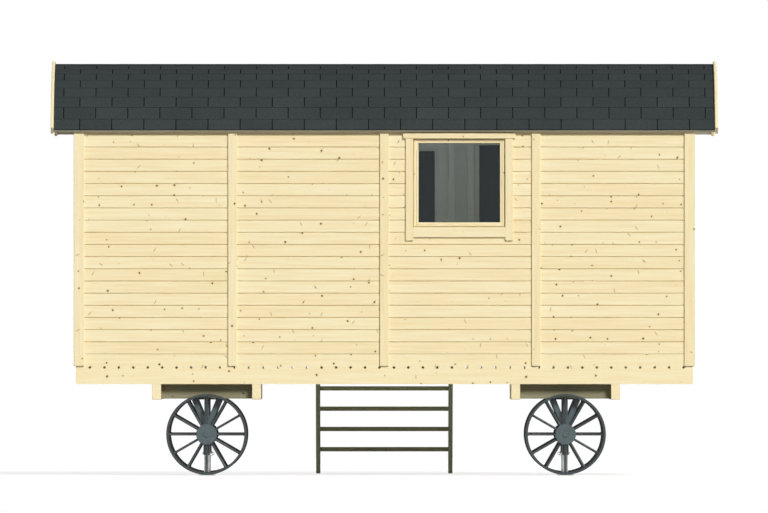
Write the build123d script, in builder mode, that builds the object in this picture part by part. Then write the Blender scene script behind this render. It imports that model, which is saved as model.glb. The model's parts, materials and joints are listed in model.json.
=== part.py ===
from build123d import *

import os
from math import asin, atan2, cos, degrees, floor

# A shepherd's hut: a boarded timber cabin with an arched roof. It stands on four steel jack legs beside
# its spoked wheels, with open stairs up to a glazed double door.
# X runs along the hut, Y from the window side to the door side, Z up from the ground.
# The origin is on the ground, in the middle of the footprint. Lengths are in millimetres.

# Cabin
body_length = 5300
body_width = 2350
wall_thickness = 64
underside_height = 785
rim_height = 257
floor_thickness = 28
joist_width = 45
joist_height = 195

# Vent holes through the long rim beams, with a joist in the middle of every few gaps
vent_diameter = 22
vent_sides = 8
vent_bay_length = 124.4
vent_drop = 114
vent_end_margin = 30
vent_shift = 21
vents_per_joist = 5

# Roof: the eave height is that of the covering's lower edge
eave_height = 2970
roof_rise = 578
eave_overhang_width = 65
gable_overhang_length = 190
covering_thickness = 8
deck_thickness = 28
barge_thickness = 26
barge_width = 80
barge_upstand = 27

# Boards that cover the joints of the cladding
trim_thickness = 18
trim_lap = 103
corner_width = 91
batten_width = 77
bay_width = 1304

# Windows: their heads hang at a drop below the eave
sash_width = 796
sash_height = 765
sash_thickness = 52
sash_stile_width = 48
sash_rail_height = 42
sash_head_drop = 73
glazing_thickness = 16
glazing_setback = 14
glazing_lap = 12
casing_width = 66
casing_lap = 3
casing_apron = 89
casing_horn = 28
casing_head_height = 45
casing_head_horn = 22
casing_head_thickness = 24
front_window_place = 644
back_window_place = 1175

# Door
door_width = 1216
door_head_drop = 25
jamb_width = 50
head_height = 45
threshold_height = 20
door_clearance = 5
leaf_thickness = 45
leaf_stile_width = 115
leaf_top_rail_height = 90
leaf_bottom_rail_height = 160
leaf_lock_rail_height = 110
leaf_panel_height = 408
panel_recess = 12
door_casing_lap = 8

# Hinges of the door leaves
hinge_count = 2
hinge_end_margin = 200
hinge_axis_offset = 10
knuckle_radius = 8
knuckle_sides = 8
knuckle_height = 45
hinge_pin_radius = 5
hinge_pin_clearance = 0.4
strap_thickness = 5
leaf_strap_length = 105
frame_strap_length = 38

# Door handle
handle_height = 1000
handle_rose_size = 52
handle_rose_thickness = 8
handle_neck_size = 18
handle_neck_length = 45
handle_lever_length = 134
handle_lever_height = 20
handle_lever_thickness = 10

# Wheel subframes
wheelbase_length = 3084
chassis_shift = 15
crossbeam_width = 77
crossbeam_height = 133
subframe_length = 859
rail_thickness = 80

# Wheels
wheel_radius = 347
wheel_ground_gap = 6
wheel_inset = 55
rim_width = 60
rim_depth = 23
rim_sides = 60
spoke_count = 12
spoke_width = 20
spoke_thickness = 16
hub_radius = 55
hub_disc_radius = 92
hub_disc_offset = 12
hub_disc_thickness = 19
hub_cap_radius = 26
hub_cap_thickness = 9
axle_radius = 20
axle_clearance = 0.5
axle_end_gap = 0.8

# Jack legs
leg_inset = 155
plate_length = 330
plate_width = 92
plate_thickness = 8
post_size = 40
strut_width = 46
strut_thickness = 24
strut_spread = 105
strut_meeting_rise = 46
sleeve_radius = 28.5
tube_sides = 12
sleeve_foot_height = 176
foot_tube_radius = 22.5
foot_tube_clearance = 0.3
foot_insertion = 140
foot_plate_size = 140
foot_plate_thickness = 8

# Stairs
stair_width = 1191
stringer_thickness = 38
stringer_depth = 240
stringer_margin = 25
tread_count = 5
tread_thickness = 38
tread_depth = 240
tread_going_length = 220
tread_rise_height = 177.3
top_tread_drop = 102
top_tread_gap = 5

# Derived heights and the roof's arch
floor_height = underside_height + rim_height
half_length = body_length / 2
half_width = body_width / 2
inner_length = body_length - 2 * wall_thickness
inner_width = body_width - 2 * wall_thickness
half_span = half_width + eave_overhang_width
roof_radius = (half_span**2 + roof_rise**2) / (2 * roof_rise)
arch_centre = eave_height + roof_rise - roof_radius
eave_angle = degrees(asin(half_span / roof_radius))
deck_outer_radius = roof_radius - covering_thickness
deck_inner_radius = deck_outer_radius - deck_thickness
barge_outer_radius = roof_radius + barge_upstand
roof_length = body_length + 2 * gable_overhang_length

# Derived stair run, measured out from the back wall
first_tread_top = floor_height - top_tread_drop - (tread_count - 1) * tread_rise_height
nose_run = top_tread_gap + tread_depth + (tread_count - 1) * tread_going_length
stair_reach = nose_run + stringer_margin

# Reference planes through the ridge line's foot, and on the outer faces of the two long walls
ridge_y = (barge_outer_radius * half_span / roof_radius - half_width - stair_reach) / 2
ground = Plane((0, ridge_y, 0))
section = Plane((0, ridge_y, 0), x_dir=(0, 1, 0), z_dir=(1, 0, 0))
front_face = Plane((0, ridge_y - half_width, 0), x_dir=(1, 0, 0), z_dir=(0, -1, 0))
back_face = Plane((0, ridge_y + half_width, 0), x_dir=(-1, 0, 0), z_dir=(0, 1, 0))
upward = (Align.CENTER, Align.MIN)

os.makedirs("parts", exist_ok=True)


def save(piece, label):
    """Label a finished piece and write it to a file of its own."""
    piece.part.label = label
    export_step(piece.part, f"parts/{label}.step")


# Rim beams and floor
vent_count = 2 * floor((half_length - vent_end_margin) / vent_bay_length)
joist_bay_length = vents_per_joist * vent_bay_length
joist_count = 2 * floor((inner_length - joist_width) / 2 / joist_bay_length) + 1

for label, face, along in (("sill_front", front_face, 1), ("sill_back", back_face, -1)):
    with BuildPart() as sill:
        with BuildSketch(face):
            with Locations((0, underside_height)):
                Rectangle(body_length, rim_height, align=upward)
            with Locations((along * vent_shift, floor_height - vent_drop)):
                with GridLocations(vent_bay_length, vent_bay_length, vent_count, 1):
                    RegularPolygon(vent_diameter / 2, vent_sides, mode=Mode.SUBTRACT)
        extrude(amount=-wall_thickness)
    save(sill, label)

with BuildPart() as sill_ends:
    for end in (-1, 1):
        with BuildSketch(section.offset(end * half_length)):
            with Locations((0, underside_height)):
                Rectangle(inner_width, rim_height, align=upward)
        extrude(amount=-end * wall_thickness)
save(sill_ends, "sill_ends")

with BuildPart() as floor_joists:
    with BuildSketch(front_face.offset(-wall_thickness)):
        with Locations((vent_shift, floor_height - floor_thickness - joist_height)):
            with GridLocations(joist_bay_length, joist_bay_length, joist_count, 1):
                Rectangle(joist_width, joist_height, align=upward)
    extrude(amount=-inner_width)
save(floor_joists, "floor_joists")

with BuildPart() as floor_deck:
    with BuildSketch(ground.offset(floor_height)):
        Rectangle(inner_length, inner_width)
    extrude(amount=-floor_thickness)
save(floor_deck, "floor_deck")

# Everything under the roof deck, to cut walls and trim to the arch
with BuildPart() as under_roof:
    with BuildSketch(section.offset(-roof_length / 2)):
        with Locations((0, arch_centre)):
            Circle(deck_inner_radius)
        Rectangle(2 * deck_inner_radius, arch_centre, align=upward)
    extrude(amount=roof_length)

# Openings of windows and door, on the plane of either long wall
sash_bottom = eave_height - sash_head_drop - sash_height
door_top = eave_height - door_head_drop
door_height = door_top - floor_height
wall_reach = arch_centre + deck_inner_radius


def long_wall(face, start, end, bottom, window_place=None):
    """Return a stretch of long wall on a face plane, up to the roof, with its window cut through."""
    with BuildPart() as wall:
        with BuildSketch(face):
            with Locations(((start + end) / 2, bottom)):
                Rectangle(end - start, wall_reach - bottom, align=upward)
            if window_place is not None:
                with Locations((window_place, sash_bottom)):
                    Rectangle(sash_width, sash_height, align=upward, mode=Mode.SUBTRACT)
        extrude(amount=-wall_thickness)
        add(under_roof.part, mode=Mode.INTERSECT)
    return wall


save(long_wall(front_face, -half_length, 0, floor_height), "front_wall_left")
save(long_wall(front_face, 0, bay_width, floor_height, front_window_place), "front_wall_window_bay")
save(long_wall(front_face, bay_width, half_length, floor_height), "front_wall_right")
half_door = door_width / 2
save(long_wall(back_face, half_door, half_length, floor_height, back_window_place), "back_wall_left")
save(long_wall(back_face, -half_length, -half_door, floor_height, -back_window_place), "back_wall_right")
save(long_wall(back_face, -half_door, half_door, door_top), "back_wall_over_door")

for label, end in (("left_end_wall", -1), ("right_end_wall", 1)):
    with BuildPart() as end_wall:
        with BuildSketch(section.offset(end * half_length)):
            with Locations((0, floor_height)):
                Rectangle(inner_width, wall_reach - floor_height, align=upward)
        extrude(amount=-end * wall_thickness)
        add(under_roof.part, mode=Mode.INTERSECT)
    save(end_wall, label)

# Corner boards, folded round the four corners
trim_bottom = floor_height - trim_lap
corner_leg = corner_width - trim_thickness
corner_pitch_x = body_length - 2 * corner_leg
corner_pitch_y = body_width - 2 * corner_leg
with BuildPart() as corner_boards:
    with BuildSketch(ground.offset(trim_bottom)):
        with GridLocations(corner_pitch_x, corner_pitch_y, 2, 2):
            Rectangle(2 * corner_width, 2 * corner_width)
        Rectangle(body_length, body_width, mode=Mode.SUBTRACT)
        Rectangle(corner_pitch_x, body_width + 2 * trim_thickness, mode=Mode.SUBTRACT)
        Rectangle(body_length + 2 * trim_thickness, corner_pitch_y, mode=Mode.SUBTRACT)
    extrude(amount=wall_reach - trim_bottom)
    add(under_roof.part, mode=Mode.INTERSECT)
save(corner_boards, "corner_boards")

# Cover battens: three on the window side, one up the middle of each end
with BuildPart() as cover_battens:
    with BuildSketch(front_face):
        with Locations((0, trim_bottom)):
            with GridLocations(bay_width, bay_width, 3, 1):
                Rectangle(batten_width, wall_reach - trim_bottom, align=upward)
    extrude(amount=trim_thickness)
    for end in (-1, 1):
        with BuildSketch(section.offset(end * half_length)):
            with Locations((0, trim_bottom)):
                Rectangle(batten_width, wall_reach - trim_bottom, align=upward)
        extrude(amount=end * trim_thickness)
    add(under_roof.part, mode=Mode.INTERSECT)
save(cover_battens, "cover_battens")


def arch_band(plane, outer_radius, inner_radius):
    """Return the arched band between two radii of the roof, cut radially at the eaves."""
    with BuildSketch(plane) as band:
        with BuildLine():
            outer = CenterArc((0, arch_centre), outer_radius, 90 - eave_angle, 2 * eave_angle)
            inner = CenterArc((0, arch_centre), inner_radius, 90 - eave_angle, 2 * eave_angle)
            Line(outer @ 0, inner @ 0)
            Line(outer @ 1, inner @ 1)
        make_face()
    return band.sketch


roof_start = section.offset(-roof_length / 2)
with BuildPart() as roof_deck:
    extrude(arch_band(roof_start, deck_outer_radius, deck_inner_radius), amount=roof_length)
save(roof_deck, "roof_deck")

with BuildPart() as roof_covering:
    extrude(arch_band(roof_start, roof_radius, deck_outer_radius), amount=roof_length)
save(roof_covering, "roof_covering")

for label, end in (("barge_board_left", -1), ("barge_board_right", 1)):
    verge = section.offset(end * roof_length / 2)
    with BuildPart() as barge_board:
        band = arch_band(verge, barge_outer_radius, barge_outer_radius - barge_width)
        extrude(band, amount=end * barge_thickness)
    save(barge_board, label)

# Windows: an outer casing of boards, a sash grooved for its pane, and the pane
light_width = sash_width - 2 * sash_stile_width
light_height = sash_height - 2 * sash_rail_height
pane_width = light_width + 2 * glazing_lap
pane_height = light_height + 2 * glazing_lap
casing_opening_width = sash_width - 2 * casing_lap
casing_opening_height = sash_height - 2 * casing_lap
casing_opening_bottom = sash_bottom + casing_lap
casing_bottom = casing_opening_bottom - casing_apron - casing_horn


def window_casing(face, places):
    """Return the boards round each window on a face: head, sides that run past the apron, and apron."""
    with BuildPart() as casing:
        side_height = casing_horn + casing_apron + casing_opening_height
        with BuildSketch(face):
            with Locations(*[(place, casing_bottom) for place in places]):
                Rectangle(casing_opening_width + 2 * casing_width, side_height, align=upward)
                Rectangle(casing_opening_width, casing_horn, align=upward, mode=Mode.SUBTRACT)
            with Locations(*[(place, casing_opening_bottom) for place in places]):
                Rectangle(casing_opening_width, casing_opening_height, align=upward, mode=Mode.SUBTRACT)
        extrude(amount=trim_thickness)
        head_width = casing_opening_width + 2 * casing_width + 2 * casing_head_horn
        with BuildSketch(face):
            with Locations(*[(place, casing_bottom + side_height) for place in places]):
                Rectangle(head_width, casing_head_height, align=upward)
        extrude(amount=casing_head_thickness)
    return casing


def window_sash(face, places):
    """Return the sash frame of each window on a face, with a groove that holds the pane."""
    middles = [(place, sash_bottom + sash_height / 2) for place in places]
    with BuildPart() as sash:
        with BuildSketch(face):
            with Locations(*middles):
                Rectangle(sash_width, sash_height)
                Rectangle(light_width, light_height, mode=Mode.SUBTRACT)
        extrude(amount=-sash_thickness)
        with BuildSketch(face.offset(-glazing_setback)):
            with Locations(*middles):
                Rectangle(pane_width, pane_height)
        extrude(amount=-glazing_thickness, mode=Mode.SUBTRACT)
    return sash


def window_pane(face, places):
    """Return the glass of each window on a face."""
    with BuildPart() as pane:
        with BuildSketch(face.offset(-glazing_setback)):
            with Locations(*[(place, sash_bottom + sash_height / 2) for place in places]):
                Rectangle(pane_width, pane_height)
        extrude(amount=-glazing_thickness)
    return pane


front_windows = [front_window_place]
back_windows = [-back_window_place, back_window_place]
save(window_casing(front_face, front_windows), "front_window_casing")
save(window_sash(front_face, front_windows), "front_window_sash")
save(window_pane(front_face, front_windows), "front_window_pane")
save(window_casing(back_face, back_windows), "back_window_casings")
save(window_sash(back_face, back_windows), "back_window_sashes")
save(window_pane(back_face, back_windows), "back_window_panes")

# Door frame in the wall's thickness, and the casing boards round it
clear_width = door_width - 2 * jamb_width
clear_bottom = floor_height + threshold_height
clear_top = door_top - head_height
with BuildPart() as door_frame:
    with BuildSketch(back_face):
        with Locations((0, floor_height)):
            Rectangle(door_width, door_height, align=upward)
        with Locations((0, clear_bottom)):
            Rectangle(clear_width, clear_top - clear_bottom, align=upward, mode=Mode.SUBTRACT)
    extrude(amount=-wall_thickness)
save(door_frame, "door_frame")

door_casing_inner = door_width - 2 * door_casing_lap
door_casing_outer = door_casing_inner + 2 * casing_width
with BuildPart() as door_casing:
    with BuildSketch(back_face):
        with Locations((0, trim_bottom)):
            Rectangle(door_casing_outer, door_top - trim_bottom, align=upward)
            Rectangle(door_casing_inner, door_top - trim_bottom, align=upward, mode=Mode.SUBTRACT)
        with Locations((0, clear_top + door_casing_lap)):
            Rectangle(door_casing_outer, door_top - clear_top - door_casing_lap, align=upward)
    extrude(amount=trim_thickness)
save(door_casing, "door_casing")

# Door leaves: a glazed frame over a panel that is sunk on both faces
leaf_width = (clear_width - 3 * door_clearance) / 2
leaf_place = (leaf_width + door_clearance) / 2
leaf_bottom = clear_bottom + door_clearance
leaf_height = clear_top - door_clearance - leaf_bottom
leaf_top = leaf_bottom + leaf_height
leaf_light_width = leaf_width - 2 * leaf_stile_width
panel_bottom = leaf_bottom + leaf_bottom_rail_height
leaf_light_bottom = panel_bottom + leaf_panel_height + leaf_lock_rail_height
leaf_light_height = leaf_top - leaf_top_rail_height - leaf_light_bottom
leaf_pane_width = leaf_light_width + 2 * glazing_lap
leaf_pane_height = leaf_light_height + 2 * glazing_lap
hinge_place = clear_width / 2 - door_clearance / 2
hinge_face = back_face.offset(hinge_axis_offset)
hinge_span = leaf_height - 2 * hinge_end_margin
hinge_heights = [
    leaf_bottom + hinge_end_margin + hinge_span * step / (hinge_count - 1) for step in range(hinge_count)
]


def door_leaf(place):
    """Return one leaf whose middle is at a place along the back face."""
    with BuildPart() as leaf:
        with BuildSketch(back_face):
            with Locations((place, leaf_bottom)):
                Rectangle(leaf_width, leaf_height, align=upward)
            with Locations((place, leaf_light_bottom)):
                Rectangle(leaf_light_width, leaf_light_height, align=upward, mode=Mode.SUBTRACT)
        extrude(amount=-leaf_thickness)
        with BuildSketch(back_face.offset(-glazing_setback)):
            with Locations((place, leaf_light_bottom - glazing_lap)):
                Rectangle(leaf_pane_width, leaf_pane_height, align=upward)
        extrude(amount=-glazing_thickness, mode=Mode.SUBTRACT)
        for depth in (0, leaf_thickness - panel_recess):
            with BuildSketch(back_face.offset(-depth)):
                with Locations((place, panel_bottom)):
                    Rectangle(leaf_light_width, leaf_panel_height, align=upward)
            extrude(amount=-panel_recess, mode=Mode.SUBTRACT)
    return leaf


def leaf_pane(place):
    """Return the glass of the leaf whose middle is at a place along the back face."""
    with BuildPart() as pane:
        with BuildSketch(back_face.offset(-glazing_setback)):
            with Locations((place, leaf_light_bottom - glazing_lap)):
                Rectangle(leaf_pane_width, leaf_pane_height, align=upward)
        extrude(amount=-glazing_thickness)
    return pane


def leaf_straps(place):
    """Return a leaf's strap hinges: a strap on its face, and a bored knuckle on the hinge axis."""
    towards_hinge = 1 if place > 0 else -1
    axis = towards_hinge * hinge_place
    with BuildPart() as straps:
        for height in hinge_heights:
            with BuildSketch(back_face):
                with Locations((axis - towards_hinge * leaf_strap_length / 2, height)):
                    Rectangle(leaf_strap_length, knuckle_height, align=upward)
            extrude(amount=strap_thickness)
            knuckle = Plane(hinge_face.from_local_coords((axis, height, 0)))
            with BuildSketch(knuckle):
                RegularPolygon(knuckle_radius, knuckle_sides)
            extrude(amount=knuckle_height)
            with BuildSketch(knuckle):
                Circle(hinge_pin_radius + hinge_pin_clearance)
            extrude(amount=knuckle_height, mode=Mode.SUBTRACT)
    return straps


with BuildPart() as hinge_pins:
    for towards_hinge in (-1, 1):
        axis = towards_hinge * hinge_place
        for height in hinge_heights:
            lower = height - hinge_pin_clearance - knuckle_height
            with BuildSketch(back_face):
                with Locations((axis + towards_hinge * frame_strap_length / 2, lower)):
                    Rectangle(frame_strap_length, knuckle_height, align=upward)
            extrude(amount=strap_thickness)
            knuckle = Plane(hinge_face.from_local_coords((axis, lower, 0)))
            with BuildSketch(knuckle):
                RegularPolygon(knuckle_radius, knuckle_sides)
            extrude(amount=knuckle_height)
            with BuildSketch(knuckle.offset(knuckle_height)):
                Circle(hinge_pin_radius)
            extrude(amount=knuckle_height)
save(hinge_pins, "hinge_pins")

for label, place in (("left", leaf_place), ("right", -leaf_place)):
    save(door_leaf(place), f"door_leaf_{label}")
    save(leaf_pane(place), f"door_pane_{label}")
    save(leaf_straps(place), f"hinge_straps_{label}")

# Lever handles on both faces of the right leaf's meeting stile
handle_place = -leaf_place + (leaf_width - leaf_stile_width) / 2
with BuildPart() as door_handle:
    for outward, start in ((1, back_face), (-1, back_face.offset(-leaf_thickness))):
        with BuildSketch(start):
            with Locations((handle_place, floor_height + handle_height)):
                Rectangle(handle_rose_size, handle_rose_size)
        extrude(amount=outward * handle_rose_thickness)
        with BuildSketch(start):
            with Locations((handle_place, floor_height + handle_height)):
                Rectangle(handle_neck_size, handle_neck_size)
        extrude(amount=outward * handle_neck_length)
        with BuildSketch(start.offset(outward * handle_neck_length)):
            with Locations((handle_place + handle_neck_size / 2, floor_height + handle_height)):
                Rectangle(handle_lever_length, handle_lever_height, align=(Align.MAX, Align.CENTER))
        extrude(amount=-outward * handle_lever_thickness)
save(door_handle, "door_handle")

# Wheel subframes: cross beams under the rim beams, and rails between them over the legs
rail_bottom = underside_height - crossbeam_height + plate_thickness
with BuildPart() as cross_beams:
    with BuildSketch(front_face):
        with Locations((chassis_shift, underside_height - crossbeam_height)):
            with GridLocations(wheelbase_length, wheelbase_length, 2, 1):
                with GridLocations(subframe_length, subframe_length, 2, 1):
                    Rectangle(crossbeam_width, crossbeam_height, align=upward)
    extrude(amount=-body_width)
save(cross_beams, "cross_beams")

# A plane at each wheel, on the wall's face above the ground, that looks outward
stations = {}
for side, outward in (("front", -1), ("back", 1)):
    for end, along in (("left", -1), ("right", 1)):
        place = (chassis_shift + along * wheelbase_length / 2, ridge_y + outward * half_width, 0)
        stations[f"{side}_{end}"] = Plane(place, x_dir=(-outward, 0, 0), z_dir=(0, outward, 0))

with BuildPart() as chassis_rails:
    for station in stations.values():
        with BuildSketch(station.offset(-leg_inset)):
            with Locations((0, rail_bottom)):
                Rectangle(subframe_length - crossbeam_width, underside_height - rail_bottom, align=upward)
        extrude(amount=rail_thickness / 2, both=True)
save(chassis_rails, "chassis_rails")

# Jack legs: plate, post and struts over a sleeve that takes the foot, and a stub axle for the wheel
axle_height = wheel_radius + wheel_ground_gap
strut_meeting = axle_height + strut_meeting_rise
plate_bottom = rail_bottom - plate_thickness
strut_lean = atan2(strut_spread, plate_bottom - strut_meeting)
strut_half = strut_width / 2 / cos(strut_lean)
axle_reach = leg_inset - wheel_inset + hub_disc_offset - axle_end_gap
hub_back_length = leg_inset - wheel_inset - sleeve_radius - axle_end_gap
with BuildPart() as leg_frames:
    for station in stations.values():
        middle = station.offset(-leg_inset)
        with BuildSketch(middle):
            with Locations((0, plate_bottom)):
                Rectangle(plate_length, plate_thickness, align=upward)
        extrude(amount=plate_width / 2, both=True)
        with BuildSketch(middle):
            with Locations((0, strut_meeting)):
                Rectangle(post_size, plate_bottom - strut_meeting, align=upward)
        extrude(amount=post_size / 2, both=True)
        with BuildSketch(middle):
            with BuildLine():
                Polyline(
                    (-strut_half, strut_meeting),
                    (strut_half, strut_meeting),
                    (strut_spread + strut_half, plate_bottom),
                    (strut_spread - strut_half, plate_bottom),
                    close=True,
                )
            make_face()
            mirror(about=Plane.YZ)
        extrude(amount=strut_thickness / 2, both=True)
        upright = Plane(middle.origin).offset(sleeve_foot_height)
        with BuildSketch(upright):
            RegularPolygon(sleeve_radius, tube_sides)
        extrude(amount=strut_meeting - sleeve_foot_height)
        with BuildSketch(middle):
            with Locations((0, axle_height)):
                Circle(axle_radius)
        extrude(amount=axle_reach)
        with BuildSketch(upright):
            RegularPolygon(foot_tube_radius + foot_tube_clearance, tube_sides)
        extrude(amount=foot_insertion, mode=Mode.SUBTRACT)
save(leg_frames, "leg_frames")

with BuildPart() as leg_feet:
    for station in stations.values():
        with BuildSketch(Plane(station.offset(-leg_inset).origin)):
            Rectangle(foot_plate_size, foot_plate_size)
        extrude(amount=foot_plate_thickness)
        with BuildSketch(Plane(station.offset(-leg_inset).origin)):
            RegularPolygon(foot_tube_radius, tube_sides)
        extrude(amount=sleeve_foot_height + foot_insertion)
save(leg_feet, "leg_feet")


spoke_start = (axle_radius + hub_radius) / 2
spoke_end = wheel_radius - rim_depth / 2
with BuildPart() as spoke:
    with BuildSketch(Plane.YZ.offset(spoke_start)):
        Rectangle(spoke_width, spoke_thickness)
    extrude(amount=spoke_end - spoke_start)


def wheel(station):
    """Return a wheel at a station: box rim, spokes, and a hub with a flat for each spoke behind a disc."""
    middle = station.offset(-wheel_inset)
    hub = Plane(middle.from_local_coords((0, axle_height, 0)), x_dir=middle.x_dir, z_dir=middle.z_dir)
    with BuildPart(hub) as wheel:
        with BuildSketch(hub):
            RegularPolygon(wheel_radius, rim_sides)
            RegularPolygon(wheel_radius - rim_depth, rim_sides, mode=Mode.SUBTRACT)
        extrude(amount=rim_width / 2, both=True)
        with PolarLocations(0, spoke_count):
            add(spoke.part)
        for radius, start, end in (
            (hub_radius, -hub_back_length, hub_disc_offset),
            (hub_disc_radius, hub_disc_offset, hub_disc_offset + hub_disc_thickness),
        ):
            with BuildSketch(hub.offset(start)):
                RegularPolygon(radius, spoke_count, rotation=180 / spoke_count)
            extrude(amount=end - start)
        with BuildSketch(hub.offset(hub_disc_offset + hub_disc_thickness)):
            Circle(hub_cap_radius)
        extrude(amount=hub_cap_thickness)
        with BuildSketch(hub.offset(-hub_back_length)):
            Circle(axle_radius + axle_clearance)
        extrude(amount=hub_back_length + hub_disc_offset, mode=Mode.SUBTRACT)
    return wheel


for name, station in stations.items():
    save(wheel(station), f"wheel_{name}")

# Stairs: two closed stringers with the treads housed between them
tread_slope = tread_rise_height / tread_going_length
stringer_lift = stringer_margin / cos(atan2(tread_rise_height, tread_going_length))
stringer_drop = stringer_depth / cos(atan2(tread_rise_height, tread_going_length))
top_tread_top = first_tread_top + (tread_count - 1) * tread_rise_height
stringer_top = top_tread_top + stringer_margin


def stringer_edge(run):
    """Return the height of the stringer's upper edge at a run out from the back wall."""
    return first_tread_top + stringer_lift + (nose_run - run) * tread_slope


stringer_top_run = nose_run - (stringer_top - first_tread_top - stringer_lift) / tread_slope
stringer_foot_run = nose_run - (stringer_drop - first_tread_top - stringer_lift) / tread_slope
with BuildPart() as stair_stringers:
    for along in (-1, 1):
        with BuildSketch(section.offset(along * stair_width / 2)):
            with BuildLine():
                Polyline(
                    (half_width, stringer_top),
                    (half_width + stringer_top_run, stringer_top),
                    (half_width + stair_reach, stringer_edge(stair_reach)),
                    (half_width + stair_reach, 0),
                    (half_width + stringer_foot_run, 0),
                    (half_width, stringer_edge(0) - stringer_drop),
                    close=True,
                )
            make_face()
        extrude(amount=-along * stringer_thickness)
save(stair_stringers, "stair_stringers")

with BuildPart() as stair_treads:
    for step in range(tread_count):
        back_run = nose_run - step * tread_going_length - tread_depth
        with BuildSketch(ground.offset(first_tread_top + step * tread_rise_height)):
            with Locations((0, half_width + back_run + tread_depth / 2)):
                Rectangle(stair_width - 2 * stringer_thickness, tread_depth)
        extrude(amount=-tread_thickness)
save(stair_treads, "stair_treads")
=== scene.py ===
"""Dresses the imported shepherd's hut: spruce boarding, shingles, glazing and painted steel, on a pale studio floor."""

import json
import logging
import math
import random
from collections.abc import Callable, Iterable, Sequence
from dataclasses import dataclass
from enum import Enum

import bmesh
import bpy
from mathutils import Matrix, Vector


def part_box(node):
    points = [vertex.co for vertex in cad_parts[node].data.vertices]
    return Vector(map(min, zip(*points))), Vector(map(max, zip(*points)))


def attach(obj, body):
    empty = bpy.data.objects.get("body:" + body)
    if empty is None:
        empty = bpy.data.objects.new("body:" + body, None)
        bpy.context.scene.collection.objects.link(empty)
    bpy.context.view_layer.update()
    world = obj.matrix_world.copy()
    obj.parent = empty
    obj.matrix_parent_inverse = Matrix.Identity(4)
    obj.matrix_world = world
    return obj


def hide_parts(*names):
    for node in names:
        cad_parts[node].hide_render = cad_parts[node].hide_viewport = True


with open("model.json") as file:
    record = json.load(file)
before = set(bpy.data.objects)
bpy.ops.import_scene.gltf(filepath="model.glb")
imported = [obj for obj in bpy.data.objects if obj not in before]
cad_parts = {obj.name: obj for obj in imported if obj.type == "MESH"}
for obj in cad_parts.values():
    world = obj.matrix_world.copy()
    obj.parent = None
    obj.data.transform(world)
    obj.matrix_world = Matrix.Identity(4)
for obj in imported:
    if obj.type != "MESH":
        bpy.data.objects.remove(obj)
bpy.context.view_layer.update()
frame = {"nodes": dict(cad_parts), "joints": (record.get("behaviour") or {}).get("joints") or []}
LOG = logging.getLogger("hut")
MM = 0.001
# Decimals of a metre to which CAD corners are rounded, so that a shared corner counts once.
DIGITS = 5
# Least share of a face's normal towards the room at which the face takes the room's finish.
FACING = 0.6
# Share of X in a direction above which it runs along the hut.
LENGTHWISE = 0.5
# A chamfer takes at most this part of a board's width or thickness.
CHAMFER_PART = 5
# How far along, across and through the log a board's wood figure may start.
FIGURE_SPREAD = (40.0, 2.0, 2.0)
# A Mix node has a set of sockets for each kind of value: these are the two colours and their result.
MIX_FIRST, MIX_SECOND, MIX_RESULT = 6, 7, 2
WHITE = "#FFFFFF"

Ring = list[Vector]
Box = tuple[Vector, Vector]
Rectangle = tuple[float, float, float, float]


class Axis(Enum):
    """The axes: along the hut, across it towards the door side, and up."""

    X = 0
    Y = 1
    Z = 2

    @property
    def unit(self) -> Vector:
        """The unit vector along this axis."""
        return Vector([float(axis is self) for axis in Axis])


class Side(Enum):
    """The two long sides, with the sign of their outward Y."""

    FRONT = -1
    BACK = 1

    def outer(self, low: Vector, high: Vector) -> float:
        """Return the Y of a box's face on this side."""
        return low.y if self is Side.FRONT else high.y


class End(Enum):
    """The two short ends, with the sign of their outward X."""

    LEFT = -1
    RIGHT = 1

    def outer(self, low: Vector, high: Vector) -> float:
        """Return the X of a box's face at this end."""
        return low.x if self is End.LEFT else high.x


def node_points(node: str) -> list[Vector]:
    """Return the corners of a CAD node's mesh, in metres."""
    return [vertex.co.copy() for vertex in frame["nodes"][node].data.vertices]


def levels(node: str, axis: Axis) -> list[float]:
    """List where a boxy CAD node has corners along an axis, in metres, from low to high and each once."""
    return sorted({round(point[axis.value], DIGITS) for point in node_points(node)})


def solids(node: str) -> list[Box]:
    """Find the boxes of the separate solids that share a CAD node.

    Args:
        node: Name of the CAD node.

    Returns:
        The lowest and highest corner of each solid, in order of X, then Y, then Z.
    """
    mesh = frame["nodes"][node].data
    places = [tuple(round(value, DIGITS) for value in vertex.co) for vertex in mesh.vertices]
    owner = {place: place for place in places}

    def root(place: tuple[float, ...]) -> tuple[float, ...]:
        """Follow a corner to the one that stands for its solid.

        Args:
            place: Any corner.

        Returns:
            The corner that stands for the solid.
        """
        while owner[place] != place:
            place = owner[place]
        return place

    for polygon in mesh.polygons:
        first = root(places[polygon.vertices[0]])
        for index in polygon.vertices[1:]:
            owner[root(places[index])] = first
    groups: dict[tuple[float, ...], list[tuple[float, ...]]] = {}
    for place in owner:
        groups.setdefault(root(place), []).append(place)
    boxes = [(Vector(map(min, *group)), Vector(map(max, *group))) for group in groups.values()]
    return sorted(boxes, key=lambda box: tuple(box[0]))


def linear(code: str) -> tuple[float, float, float, float]:
    """Turn an sRGB hex colour into Blender's linear colour.

    Args:
        code: Colour such as "#F2E2B3".

    Returns:
        Red, green, blue and an alpha of one.
    """
    shares = [int(code[start:start + 2], 16) / 255 for start in (1, 3, 5)]
    # The curve of the sRGB standard: a straight foot, then a power.
    red, green, blue = (c / 12.92 if c <= 0.04045 else ((c + 0.055) / 1.055) ** 2.4 for c in shares)
    return red, green, blue, 1.0


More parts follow.
